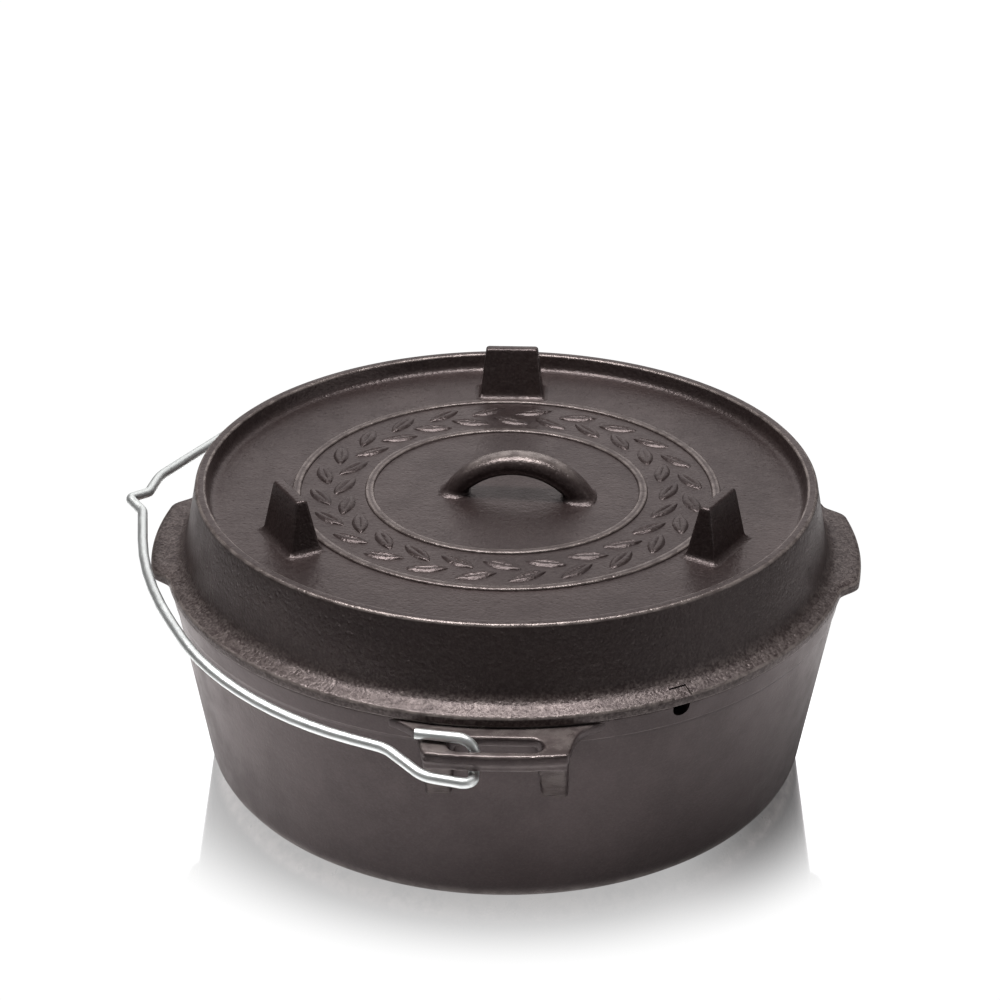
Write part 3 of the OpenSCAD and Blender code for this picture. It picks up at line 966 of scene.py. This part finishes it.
@dataclass
class Pot:
    """The pot: turned bowl, two slotted ears and the notch for a thermometer's lead."""

    shop: Workshop
    height: float = 99.6
    rim_r: float = 153.4
    foot_r: float = 137.0
    wall: float = 4.4
    base: float = 5.0
    corner_r: float = 13.0
    inner_corner_r: float = 10.0
    rim_edge_r: float = 0.9
    band_h: float = 9.6
    band_proud: float = 0.45
    band_step: float = 1.8
    band_low_r: float = 2.0
    band_top_r: float = 1.6
    notch_angle: float = -60.4
    notch_w: float = 8.0
    notch_depth: float = 5.8
    notch_over: float = 2.0
    notch_points: int = 17
    ear_box: tuple = ((-46.0, -190.0, 56.0), (46.0, -140.0, 99.0))
    ear_plate: tuple = (94.2, 98.8)
    ear_sweep: tuple = ((24.0, -148.0), (24.0, -168.0), (30.2, -168.0), (32.3, -160.5),
                        (33.4, -157.2), (35.2, -154.2), (37.6, -151.8), (40.6, -149.6),
                        (44.5, -147.0), (43.5, -144.5))
    cheek_x: tuple = (21.0, 29.2)
    cheek_side: tuple = ((-172.0, 90.8), (-144.5, 60.0), (-140.0, 60.0), (-140.0, 95.0),
                         (-172.0, 95.0))
    # Painted light on the ear: lighter top and gussets, and a painted highlight along the lip.
    top_painted_light: float = 0.85
    lip_painted_highlight: float = 2.0
    gusset_painted_light: float = 1.6
    ear_voxel: float = 0.8
    ear_softness: float = 0.5
    ear_smoothing: int = 7
    root_sink: float = 0.45
    root_rise: float = 0.8
    root_fade: float = 0.9
    segments: int = 400

    def wall_r(self, z: Union[float, np.ndarray]) -> Union[float, np.ndarray]:
        """Radius of the outer wall at a height."""
        return self.foot_r + (self.rim_r - self.foot_r) * z / self.height

    def bowl(self) -> Mesh:
        """Turn the bowl and cut its notch.

        Returns:
            The bowl's mesh.
        """
        band = self.height - self.band_h
        step = band - self.band_step
        profile = Profile([(0, 0, 0), (self.foot_r, 0, self.corner_r),
                           (self.wall_r(step), step, self.band_low_r),
                           (self.wall_r(band) + self.band_proud, band, self.band_top_r),
                           (self.rim_r + self.band_proud, self.height, self.rim_edge_r),
                           (self.rim_r - self.wall, self.height, self.rim_edge_r),
                           (self.wall_r(self.base) - self.wall, self.base, self.inner_corner_r),
                           (0, self.base, 0)])
        mesh = self.shop.turning.run(profile.line("bowl_outline"), self.shop.pot_iron,
                                     Segments=self.segments)
        return trim(put("bowl", tidy_normals(mesh)), put("notch", self.notch()), Cut.TAKE_AWAY)

    def notch(self) -> Mesh:
        """Make the round-bottomed solid that cuts the notch.

        Returns:
            The cutter's mesh.
        """
        half = self.notch_w / 2
        middle = self.height - self.notch_depth + half
        above = self.height + self.notch_over
        section = [(half * math.cos(a), middle + half * math.sin(a))
                   for a in np.linspace(math.pi, FULL_TURN, self.notch_points)]
        section += [(half, above), (-half, above)]
        turn = Matrix.Rotation(math.radians(self.notch_angle), 3, "Z")
        reach = (self.rim_r - 3 * self.wall, self.rim_r + 2 * self.wall)
        return loft("notch", [np.array([turn @ Vector((r, y, z)) for y, z in section])
                              for r in reach])

    def sweep(self, side: int) -> Mesh:
        """Make the hollow curve in which the ear's end runs out along the rim, +X for side 1."""
        return loft("sweep", [np.array([(side * x, y, z) for x, y in self.ear_sweep])
                              for z in self.ear_plate])

    def cheek(self, side: int) -> Mesh:
        """Make the outer side of the gusset at the ear's end, +X for side 1."""
        return loft("cheek", [np.array([(side * x, y, z) for y, z in self.cheek_side])
                              for x in self.cheek_x])

    def ear(self) -> Mesh:
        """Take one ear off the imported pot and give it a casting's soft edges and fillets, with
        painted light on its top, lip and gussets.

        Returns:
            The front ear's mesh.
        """
        source = put("ear", tidy_normals(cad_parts["pot"].data.copy()))
        block = trim(source, put("ear_box", box_mesh("ear_box", *self.ear_box)), Cut.KEEP_SHARED)
        ends = [made(side) for made in (self.sweep, self.cheek) for side in (1, -1)]
        obj = joined("ear", [block, *ends], CAST_EDGE_ANGLE)
        remesh = obj.modifiers.new("cast", "REMESH")
        remesh.mode = "VOXEL"
        remesh.voxel_size = self.ear_voxel * MM
        soft = obj.modifiers.new("soft", "SMOOTH")
        soft.factor = self.ear_softness
        soft.iterations = self.ear_smoothing
        mesh = plain_copy(obj)
        self.sink_root(mesh)
        # Painted light: the ear's top and gussets are paler and its lip gets a bright line, all in
        # the pale worn colour.
        return store(mesh, wear=[self.ear_wear(v.normal) for v in mesh.vertices])

    def ear_wear(self, n: Vector) -> float:
        """Painted light on the ear's top and gussets and a painted highlight along its lip, from
        the way that the surface faces.
        """
        edge = max(-self.lip_painted_highlight * n.y * n.z, self.gusset_painted_light * n.y * n.z)
        return max(self.top_painted_light * max(0.0, n.z) ** 2, min(1.0, edge))

    def sink_root(self, mesh: Mesh) -> None:
        """Sink the ear's piece of wall into the bowl's wall, so that ear and fillets stand out.

        Args:
            mesh: The ear's mesh.
        """
        places = np.zeros(len(mesh.vertices) * 3, np.float32)
        mesh.vertices.foreach_get("co", places)
        co = places.reshape(-1, 3).astype(float)
        radius = np.hypot(co[:, 0], co[:, 1])
        wall = self.wall_r(co[:, 2] / MM) * MM
        stand = (radius - wall) / MM
        moved = np.interp(stand, [-self.wall, 0.0, self.root_fade],
                          [self.root_rise - self.wall, -self.root_sink, self.root_fade])
        moved = np.where(stand > self.root_fade, stand, moved)
        co[:, :2] *= ((wall + moved * MM) / radius)[:, None]
        mesh.vertices.foreach_set("co", co.astype(np.float32).ravel())
        mesh.update()

    def build(self) -> Object:
        """Build the pot and put it on its body.

        Returns:
            The finished piece.
        """
        front = self.ear()
        rear = front.copy()
        rear.transform(Matrix.Scale(-1.0, 4, (0.0, 1.0, 0.0)))
        rear.flip_normals()
        piece = joined("pot_casting", [self.bowl(), front, rear], CAST_EDGE_ANGLE)
        return finish_piece(piece, Body.POT, Slot.POT, self.shop.pot_iron, "pot")


@dataclass
class Wreath:
    """The lid's relief: two rows of leaves between two raised rings.

    A row is (radius, lean in degrees, shift in leaves). A corner of a ring's outline is
    (distance from its middle, height, rub).
    """

    shop: Workshop
    plate: float
    count: int = 24
    rows: tuple = ((73.5, -24.0, 0.0), (84.0, 24.0, 0.5))
    rings: tuple = (62.0, 95.0)
    ring_outline: tuple = ((-2.1, -0.6, 0.0), (-2.1, 0.0, 0.0), (-1.7, 0.7, 0.7), (-1.3, 0.95, 0.8),
                           (0.0, 1.0, 0.3), (1.3, 0.95, 0.8), (1.7, 0.7, 0.7), (2.1, 0.0, 0.0),
                           (2.1, -0.6, 0.0), (-2.1, -0.6, 0.0))
    ring_segments: int = 256
    leaf_l: float = 19.0
    leaf_w: float = 7.6
    leaf_h: float = 1.25
    leaf_sink: float = 0.1
    leaf_foot: float = 0.9
    leaf_rows: int = 13
    leaf_columns: int = 9
    stalk: float = 0.04
    tip: float = 0.95
    belly: float = 0.8
    crown_side: float = 3.4
    crown_end: float = 0.35
    vein_depth: float = 0.55
    vein_w: float = 0.17

    def leaf_top(self) -> list[Corner]:
        """Work out the domed and veined top of a leaf.

        Returns:
            Points in rows across the leaf.
        """
        points = []
        for i in range(self.leaf_rows):
            t = i / (self.leaf_rows - 1)
            width = math.sin(math.pi * min(1.0, self.stalk + t * self.tip)) ** self.belly
            for k in range(self.leaf_columns):
                s = 2 * k / (self.leaf_columns - 1) - 1
                crown = (1 - abs(s) ** self.crown_side) * math.sin(math.pi * t) ** self.crown_end
                vein = self.vein_depth * math.exp(-(s / self.vein_w) ** 2) * math.sin(math.pi * t)
                points.append((s * (self.leaf_w / 2 * width), (t - 0.5) * self.leaf_l,
                               self.leaf_h * crown * (1 - vein) - self.leaf_sink))
        return points

    def leaf(self, lean: float) -> Mesh:
        """Make one leaf in low relief, its X axis outwards from the lid's middle.

        Args:
            lean: Turn of the leaf away from the tangent, in degrees.

        Returns:
            The leaf's mesh.
        """
        rows, columns = self.leaf_rows, self.leaf_columns
        top = self.leaf_top()
        count = len(top)
        faces = [(a, a + 1, a + columns + 1, a + columns)
                 for i in range(rows - 1) for a in range(i * columns, (i + 1) * columns - 1)]
        faces += [tuple(count + n for n in reversed(face)) for face in list(faces)]
        rim = [*range(columns), *range(2 * columns - 1, count, columns),
               *range(count - 2, count - columns - 1, -1),
               *range(count - 2 * columns, 0, -columns)]
        faces += [(a, b, count + b, count + a) for a, b in zip(rim, rim[1:] + rim[:1])]
        verts = top + [(x, y, -self.leaf_foot) for x, y, _ in top]
        mesh = tidy_normals(mesh_of("leaf", np.array(verts), faces))
        mesh.transform(Matrix.Rotation(math.radians(lean), 4, "Z"))
        return mesh

    def ring(self, radius: float) -> Mesh:
        """Turn a thin raised ring on the plate.

        Args:
            radius: Radius of the ring.

        Returns:
            The ring's mesh.
        """
        places = np.array([(radius + d, 0.0, self.plate + h) for d, h, _ in self.ring_outline])
        even = np.zeros(len(places))
        line = line_mesh("band", places, wear=[rub for _, _, rub in self.ring_outline],
                         reach=even, coarse=even)
        return tidy_normals(self.shop.turning.run(line, self.shop.lid_iron,
                                                  Segments=self.ring_segments))

    def meshes(self) -> list[Mesh]:
        """Make the rows of leaves and the rings.

        Returns:
            The meshes of the wreath.
        """
        step = FULL_TURN / self.count
        leaves = [self.shop.ring.run(self.leaf(lean), self.shop.lid_iron, Count=self.count,
                                     Radius=radius * MM, Height=self.plate * MM,
                                     First_Angle=shift * step)
                  for radius, lean, shift in self.rows]
        return leaves + [self.ring(radius) for radius in self.rings]


@dataclass
class Lid:
    """The lid: turned shell with grips, three legs, a loop handle and a wreath in low relief."""

    shop: Workshop
    seat: float = 99.6
    top: float = 139.0
    plate: float = 131.0
    plate_t: float = 4.5
    rim_r: float = 140.0
    foot_r: float = 146.2
    wall: float = 4.4
    dish_slope: float = 1.8
    dish_round: float = 3.8
    rim_rounds: tuple = (1.8, 1.5)
    under_round: float = 5.0
    flange_r: float = 154.8
    flange_h: float = 4.2
    flange_rise: float = 3.1
    flange_rounds: tuple = (0.7, 1.9)
    root_round: float = 7.0
    lip_r: float = 148.0
    lip_foot_r: float = 147.34
    lip_h: float = 4.0
    lip_t: float = 3.8
    lip_round: float = 0.8
    coarse_from: float = -2.0
    coarse_to: float = 1.5
    grip_reach: float = 6.7
    grip_half_w: float = 36.0
    grip_flare: float = 6.0
    grip_root: float = 5.0
    grip_blend: float = 2.5
    mark_angle: float = -60.4
    mark_w: float = 8.0
    mark_reach: float = 6.0
    mark_depth: float = 0.8
    mark_past: float = 2.0
    mark_over: float = 3.0
    leg_count: int = 3
    leg_r: float = 106.5
    leg_angle: float = 90.0
    leg_h: float = 24.0
    leg_foot: tuple = (14.5, 30.5)
    leg_top: tuple = (5.0, 25.0)
    leg_flare: float = 2.6
    leg_sink: float = 0.8
    leg_edge: float = 1.3
    leg_round: float = 1.3
    leg_least_round: float = 0.35
    leg_round_share: float = 0.6
    leg_rows: tuple = (8, 10, 7)
    leg_gaps: tuple = (1.5, 0.8)
    side_steps: tuple = (0.06, 0.28, 0.5, 0.72, 0.94)
    corner_points: int = 6
    loop_h: float = 20.5
    loop_half_span: float = 35.0
    loop_t: float = 10.0
    loop_w: float = 13.5
    loop_turn: float = -4.0
    loop_at: tuple = (5.0, -4.6)
    loop_swell: float = 0.12
    loop_fillet: float = 2.8
    loop_sink: float = 2.0
    loop_flatness: float = 3.0
    loop_sides: int = 32
    loop_rows: tuple = (22, 44)
    loop_foot_from: float = 0.72
    loop_arch_to: float = 0.70
    segments: int = 576

    @property
    def flange_top(self) -> float:
        """Height of the flange at its edge."""
        return self.seat + self.flange_h

    @property
    def root(self) -> float:
        """Height at which the flange meets the wall."""
        return self.flange_top + self.flange_rise

    def profile(self) -> Profile:
        """Work out the shell's outline.

        Returns:
            The outline, from the underside's middle to the plate's middle.
        """
        under = self.plate - self.plate_t
        share = (under - self.root) / (self.top - self.root)
        wall_r = self.foot_r - (self.foot_r - self.rim_r) * share
        dish_r = self.rim_r - self.wall
        lip_z = self.seat - self.lip_h
        return Profile([(0, under, 0), (wall_r - self.wall, under, self.under_round),
                        (self.lip_foot_r - self.lip_t, lip_z, self.lip_round),
                        (self.lip_foot_r, lip_z, self.lip_round), (self.lip_r, self.seat, 0.0),
                        (self.flange_r, self.seat, self.flange_rounds[0]),
                        (self.flange_r, self.flange_top, self.flange_rounds[1]),
                        (self.foot_r, self.root, self.root_round),
                        (self.rim_r, self.top, self.rim_rounds[0]),
                        (dish_r, self.top, self.rim_rounds[1]),
                        (dish_r - self.dish_slope, self.plate, self.dish_round),
                        (0, self.plate, 0)])

    def reach(self, r: float, z: float) -> float:
        """Share of the grip's reach that a point of the outline takes."""
        share = (r - self.flange_r + self.grip_root) / self.grip_blend
        return float(np.clip(share, 0, 1)) if z < self.root else 0.0

    def coarse(self, r: float, z: float) -> float:
        """Work out how coarse the grain is, which is 1 on the flange's top and foot.

        Args:
            r: Distance from the axis.
            z: Height.

        Returns:
            The coarseness, from 0 to 1.
        """
        span = [self.foot_r + self.coarse_from, self.foot_r + self.coarse_to]
        inside = self.seat < z < self.root + self.root_round
        return float(np.interp(r, span, [0, 1])) if inside else 0.0

    def shell(self) -> Mesh:
        """Turn the shell, draw out its grips and cut its mark.

        Returns:
            The shell's mesh.
        """
        line = self.profile().line("lid_outline", self.reach, self.coarse)
        mesh = self.shop.turning.run(line, self.shop.lid_iron, Segments=self.segments,
                                     Grip_Reach=self.grip_reach * MM,
                                     Grip_Half_Width=self.grip_half_w * MM,
                                     Grip_Flare=self.grip_flare * MM,
                                     Grip_Radius=self.flange_r * MM)
        mesh = trim(put("shell", tidy_normals(mesh)), put("mark", self.mark()), Cut.TAKE_AWAY)
        return store(mesh, coarse=[self.coarse(math.hypot(v.co.x, v.co.y) / MM, v.co.z / MM)
                                   for v in mesh.vertices])

    def mark(self) -> Mesh:
        """Make the thin solid that cuts the step above the pot's notch.

        Returns:
            The cutter's mesh.
        """
        half = self.mark_w / 2
        mesh = box_mesh("mark", (-self.mark_reach, -half, 0),
                        (self.mark_past, half, self.mark_over))
        slope = math.atan(self.flange_rise / (self.flange_r - self.foot_r))
        edge = Vector((self.flange_r, 0, self.flange_top - self.mark_depth)) * MM
        mesh.transform(Matrix.Rotation(math.radians(self.mark_angle), 4, "Z")
                       @ Matrix.Translation(edge) @ Matrix.Rotation(slope, 4, "Y"))
        return mesh

    @staticmethod
    def flare(h: np.ndarray, size: float) -> np.ndarray:
        """Spread of a round fillet of a size at a height above the plate."""
        x = np.clip(1 - h / size, 0, 1)
        return size * (1 - np.sqrt(np.clip(1 - x * x, 0, 1)))

    def leg(self) -> Mesh:
        """Make one tapered leg with a fillet at its foot, its X axis outwards.

        Returns:
            The leg's mesh.
        """
        edge, shoulder = self.leg_edge, self.leg_h - self.leg_edge
        (after, before), (foot_rows, side_rows, top_rows) = self.leg_gaps, self.leg_rows
        heights = np.concatenate([
            [-self.leg_sink], np.linspace(0.0, self.leg_flare, foot_rows),
            np.linspace(self.leg_flare + after, shoulder - before, side_rows),
            shoulder + edge * np.sin(np.linspace(0, QUARTER_TURN, top_rows))])
        rings = []
        for h in heights:
            share = np.clip(h / self.leg_h, 0, 1)
            half = [(f + (t - f) * share) / 2 for f, t in zip(self.leg_foot, self.leg_top)]
            spread = float(self.flare(np.array(max(h, 0.0)), self.leg_flare))
            into = max(0.0, h - shoulder)
            grown = spread - (edge - math.sqrt(max(0.0, edge * edge - into * into)))
            rounding = max(self.leg_least_round, self.leg_round + self.leg_round_share * grown)
            rings.append(self.rounded_ring(half[0] + grown, half[1] + grown, rounding, h))
        return loft("leg", rings)

    def rounded_ring(self, half_x: float, half_y: float, radius: float, z: float) -> np.ndarray:
        """Lay points along a rounded rectangle.

        Args:
            half_x: Half its size along X.
            half_y: Half its size along Y.
            radius: Rounding of its corners.
            z: Its height.

        Returns:
            The ring of points.
        """
        corners = [np.array([(sx * (half_x - radius) + radius * math.cos(a + k * QUARTER_TURN),
                              sy * (half_y - radius) + radius * math.sin(a + k * QUARTER_TURN), z)
                             for a in np.linspace(0, QUARTER_TURN, self.corner_points)])
                   for k, (sx, sy) in enumerate(((1, 1), (-1, 1), (-1, -1), (1, -1)))]
        points = []
        for corner, following in zip(corners, corners[1:] + corners[:1]):
            start, stop = corner[-1], following[0]
            points += [*corner, *(start + (stop - start) * t for t in self.side_steps)]
        return np.array(points)

    def loop(self) -> Mesh:
        """Make the arched loop with a fillet at each foot and a painted highlight along its crest.

        Returns:
            The loop's mesh.
        """
        arch_r = (self.loop_half_span ** 2 + self.loop_h ** 2) / (2 * self.loop_h)
        thick = self.loop_t / 2
        middle = arch_r - thick
        centre = self.plate + self.loop_h - arch_r
        half_flat = (self.loop_w - self.loop_t) / 2
        around = [FULL_TURN * k / self.loop_sides for k in range(self.loop_sides)]
        section = [(thick * math.cos(a), thick * math.sin(a)
                    + half_flat * np.tanh(self.loop_flatness * math.sin(a))) for a in around]
        foot = math.acos((self.plate - self.loop_sink - centre) / middle)
        foot_rows, arch_rows = self.loop_rows
        rise, arch = foot * self.loop_foot_from, foot * self.loop_arch_to
        angles = np.concatenate([-np.linspace(foot, rise, foot_rows),
                                 np.linspace(-arch, arch, arch_rows),
                                 np.linspace(rise, foot, foot_rows)])
        rings = []
        for a in angles:
            swell = 1 + self.loop_swell * a / foot
            ring = np.array([((middle + o * swell) * math.sin(a), w * swell,
                              centre + (middle + o * swell) * math.cos(a)) for o, w in section])
            foot_x = math.copysign(middle * math.sin(foot), a)
            away = ring[:, :2] - np.array([foot_x, 0.0])
            length = np.maximum(np.hypot(away[:, 0], away[:, 1]), TINY)
            spread = self.flare(np.maximum(ring[:, 2] - self.plate, 0.0), self.loop_fillet)
            ring[:, :2] += away / length[:, None] * spread[:, None]
            rings.append(ring)
        # Painted highlight along the top of the loop, fading towards its feet.
        crest_highlight = [max(0.0, math.cos(a)) ** 2 for a in around]
        mesh = store(loft("loop", rings), wear=[c * math.cos(0.5 * math.pi * a / foot)
                                                for a in angles for c in crest_highlight])
        mesh.transform(Matrix.Translation(Vector((*self.loop_at, 0.0)) * MM)
                       @ Matrix.Rotation(math.radians(self.loop_turn), 4, "Z"))
        return mesh

    def build(self) -> Object:
        """Build the lid and put it on its body.

        Returns:
            The finished piece.
        """
        legs = self.shop.ring.run(self.leg(), self.shop.lid_iron, Count=self.leg_count,
                                  Radius=self.leg_r * MM, Height=self.plate * MM,
                                  First_Angle=math.radians(self.leg_angle))
        meshes = [self.shell(), legs, self.loop(), *Wreath(self.shop, self.plate).meshes()]
        piece = joined("lid_casting", meshes, CAST_EDGE_ANGLE)
        return finish_piece(piece, Body.LID, Slot.LID, self.shop.lid_iron, "lid", "lid_loop")


@dataclass
class Bail:
    """The bail: one wire bent to a bow with a hook at each end.

    A brow is (distance from the middle, fall, bend radius).
    """

    shop: Workshop
    hinge: tuple = (-8.5, 0.0, 87.75)
    wire_r: float = 2.25
    sides: int = 24
    tilt: float = 12.2
    bow_u: float = 159.74
    notch_h: float = 7.5
    notch_half_w: float = 9.5
    notch_tip_r: float = 3.0
    notch_side_r: float = 6.0
    front_brow: tuple = (71.5, 9.5, 200.0)
    rear_brow: tuple = (27.5, 2.3, 40.0)
    shoulder_fall: float = 57.5
    shoulder_in: float = 7.5
    shoulder_r: float = 100.0
    side: float = 165.55
    leg_y: float = 179.55
    rise_y: float = 168.2
    top_y: float = 167.2
    end_y: float = 163.3
    rise: float = 13.65
    turn_back: float = 0.5
    free_end: float = 24.0
    flare_u: float = 36.5
    pass_x: float = 20.0
    pass_z: float = 3.6
    pass_r: float = 12.0
    cross_r: float = 5.5
    rise_r: float = 3.8
    back_r: float = 7.0
    least_steps: int = 4
    step_angle: float = 5.0
    longest_step: float = 6.0

    def on_bow(self, u: float, y: float, bend: float) -> Bend:
        """Corner of the route in the plane of the bow."""
        a = math.radians(self.tilt)
        return (-u * math.cos(a), y, u * math.sin(a), bend)

    def half(self, side: int, brow: Corner) -> list[Bend]:
        """List the corners of half the route, from the bow's notch to a free end.

        Args:
            side: -1 for the front, 1 for the rear.
            brow: This side's brow.

        Returns:
            Corners as (x, y, z, bend radius), from the hinge line.
        """
        out, fall, brow_r = brow
        return [self.on_bow(self.bow_u, side * self.notch_half_w, self.notch_side_r),
                self.on_bow(self.bow_u - fall, side * out, brow_r),
                self.on_bow(self.bow_u - self.shoulder_fall,
                            side * (self.side - self.shoulder_in), self.shoulder_r),
                self.on_bow(self.flare_u, side * self.side, self.pass_r),
                (-self.pass_x, side * self.leg_y, self.pass_z, self.pass_r),
                (0.0, side * self.leg_y, 0.0, self.cross_r),
                (0.0, side * self.rise_y, 0.0, self.rise_r),
                (self.turn_back, side * self.top_y, self.rise, self.back_r),
                (-self.free_end, side * self.end_y, self.rise, 0.0)]

    def route(self) -> np.ndarray:
        """Work out the wire's whole route as points close together.

        Returns:
            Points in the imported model's frame.
        """
        tip = self.on_bow(self.bow_u + self.notch_h, 0.0, self.notch_tip_r)
        corners = [*self.half(1, self.rear_brow)[::-1], tip, *self.half(-1, self.front_brow)]
        places = [np.array(c[:3]) for c in corners]
        points = [places[0]]
        for before, at, after, corner in zip(places, places[1:], places[2:], corners[1:]):
            u, v = at - before, after - at
            turn = math.acos(float(u @ v / np.linalg.norm(u) / np.linalg.norm(v)))
            steps = max(self.least_steps, math.ceil(math.degrees(turn) / self.step_angle))
            points += corner_arc(before, at, after, corner[3], steps)
        points.append(places[-1])
        dense = [points[0]]
        for p, q in zip(points[:-1], points[1:]):
            pieces = max(1, math.ceil(np.linalg.norm(q - p) / self.longest_step))
            dense += [p + (q - p) * k / pieces for k in range(1, pieces + 1)]
        return np.array(dense) + np.array(self.hinge)

    def build(self) -> Object:
        """Build the bail and put it on its body.

        Returns:
            The finished piece.
        """
        mesh = self.shop.wire.run(line_mesh("bail_route", self.route()), self.shop.zinc,
                                  Wire_Radius=self.wire_r * MM, Sides=self.sides)
        piece = joined("bail_wire", [tidy_normals(mesh)], WIRE_EDGE_ANGLE)
        return finish_piece(piece, Body.BAIL, Slot.BAIL, self.shop.zinc, "bail")


# Stage


@dataclass(frozen=True)
class Lamp:
    """A soft box: where it hangs, its width and height in metres, and its power in watts."""

    name: str
    at: Corner
    size: tuple[float, float]
    power: float

    def hang(self, aim: Corner) -> None:
        """Hang the soft box.

        Args:
            aim: What it points at, in metres.
        """
        data = bpy.data.lights.new(self.name, "AREA")
        data.shape = "RECTANGLE"
        data.size, data.size_y = self.size
        data.energy = self.power
        obj = bpy.data.objects.new(self.name, data)
        bpy.context.scene.collection.objects.link(obj)
        obj.location = self.at
        obj.rotation_euler = (Vector(aim) - Vector(self.at)).to_track_quat("-Z", "Y").to_euler()


@dataclass
class Studio:
    """Floor, lights and camera of the photograph.

    A fade is a range in metres, and the values at its two ends where they aren't 0 and 1.
    """

    eye: Corner = (23.85, -1056.06, 654.53)
    pitch: float = 63.39
    heading: float = 1.45
    roll: float = 0.28
    lens: float = 93.6
    sensor: float = 36.0
    aim: Corner = (0.0, 0.0, 0.1)
    lamps: tuple[Lamp, ...] = (Lamp("overhead", (-0.12, -0.02, 1.35), (0.36, 1.2), 26.0),
                               Lamp("rear", (0.0, 1.6, 0.85), (1.6, 1.2), 5.2),
                               Lamp("side", (1.6, -0.5, 0.35), (1.0, 0.5), 2.0))
    ambient: float = 0.1
    white: float = 1.03
    floor_half: float = 6000.0
    floor_drop: float = 0.1
    floor_pale: Colour = (0.9, 0.9, 0.9)
    floor_dim: Colour = (0.3, 0.3, 0.3)
    floor_roughness: float = 0.5
    floor_glow: float = 0.3
    # The far fade and the near fade and side place painted shade in the floor's colour.
    far_fade: tuple = (0.2, 0.45)
    near_fade: tuple = (0.16, 0.27, 0.72, 0.0)
    near_side: tuple = (0.02, 0.12)
    polish_tint: tuple = (1.4, 1.4, 1.42, 1.0)
    polish_roughness: float = 0.05
    polish_squeeze: Corner = (0.95, 1.0, 1.0)
    polish_fade: tuple = (0.13, 0.187, 0.68, 0.0)
    painted_shadow_side: tuple = (0.07, 0.127, 0.87, 1.34)

    def floor_material(self) -> Material:
        """Build the floor: white with a faint mirror image to the camera; to other rays matt and
        glowing near the pot, with painted shade far out and a painted contact shadow on its right.

        Returns:
            The material.
        """
        made, s = blank_material("pale_floor")
        where = s.add("ShaderNodeTexCoord").outputs["Object"]
        away = s.length(where)
        side = s.node("ShaderNodeSeparateXYZ", {0: where}).outputs["X"]
        # Painted shade in the floor's colour to other rays: a contact shadow on the right near the
        # pot, and shade farther out.
        near = s.times(s.ramp(away, *self.near_fade), s.ramp(side, *self.near_side))
        dim = s.math("MAXIMUM", s.ramp(away, *self.far_fade), near)
        matt = s.node("ShaderNodeBsdfPrincipled", {
            "Base Color": s.mixed(dim, self.floor_pale, self.floor_dim),
            "Roughness": self.floor_roughness})
        glow = s.node("ShaderNodeEmission", {
            "Strength": s.times(s.math("SUBTRACT", 1.0, dim), self.floor_glow)})
        lit = s.node("ShaderNodeAddShader", {0: matt.outputs[0], 1: glow.outputs[0]})
        white = s.node("ShaderNodeEmission", {"Strength": self.white})
        mirror = s.node("ShaderNodeBsdfGlossy", {"Color": self.polish_tint,
                                                 "Roughness": self.polish_roughness})
        # The mirror image is made stronger on the right, as a painted shadow.
        oval = s.node("ShaderNodeVectorMath", {0: where, 1: self.polish_squeeze},
                      operation="MULTIPLY").outputs[0]
        polish = s.times(s.ramp(s.length(oval), *self.polish_fade), s.ramp(side, *self.painted_shadow_side))
        seen = s.node("ShaderNodeMixShader",
                      {0: polish, 1: white.outputs[0], 2: mirror.outputs[0]})
        camera = s.add("ShaderNodeLightPath").outputs["Is Camera Ray"]
        s.surface(s.node("ShaderNodeMixShader",
                         {0: camera, 1: lit.outputs[0], 2: seen.outputs[0]}))
        return made

    def floor(self) -> None:
        """Lay a plain pale floor."""
        half, z = self.floor_half, -self.floor_drop
        verts = np.array([(-half, -half, z), (half, -half, z), (half, half, z), (-half, half, z)])
        obj = put("floor", mesh_of("floor", verts, [(0, 1, 2, 3)]))
        obj.data.materials.append(self.floor_material())

    def light(self) -> None:
        """Set plain soft studio light, with a white backdrop behind the floor."""
        world = bpy.data.worlds.new("studio")
        bpy.context.scene.world = world
        world.use_nodes = True
        s = Sketch(world.node_tree)
        back = world.node_tree.nodes["Background"].inputs
        s.feed(back["Color"], (1.0, 1.0, 1.0, 1.0))
        camera = s.add("ShaderNodeLightPath").outputs["Is Camera Ray"]
        s.feed(back["Strength"], s.ramp(camera, 0.0, 1.0, self.ambient, self.white))
        for lamp in self.lamps:
            lamp.hang(self.aim)

    def camera(self) -> None:
        """Set the camera at the photograph's viewing angle."""
        data = bpy.data.cameras.new("camera")
        data.sensor_width = self.sensor
        data.lens = self.lens
        obj = bpy.data.objects.new("camera", data)
        bpy.context.scene.collection.objects.link(obj)
        turn = (Matrix.Rotation(math.radians(self.heading), 4, "Z")
                @ Matrix.Rotation(math.radians(self.pitch), 4, "X")
                @ Matrix.Rotation(math.radians(self.roll), 4, "Z"))
        obj.matrix_world = Matrix.Translation(Vector(self.eye) * MM) @ turn
        bpy.context.scene.camera = obj
        bpy.context.scene.view_settings.view_transform = "Standard"

    def build(self) -> None:
        """Set up the whole stage."""
        self.floor()
        self.light()
        self.camera()


def main() -> None:
    """Build every piece and the stage."""
    logging.basicConfig(level=logging.INFO, format="%(name)s: %(message)s")
    shop = Workshop.open()
    for part in (Pot(shop), Lid(shop), Bail(shop)):
        piece = part.build()
        LOG.info("%s: %d faces", piece.name, len(piece.data.polygons))
    Studio().build()


if __name__ == "__main__":
    main()
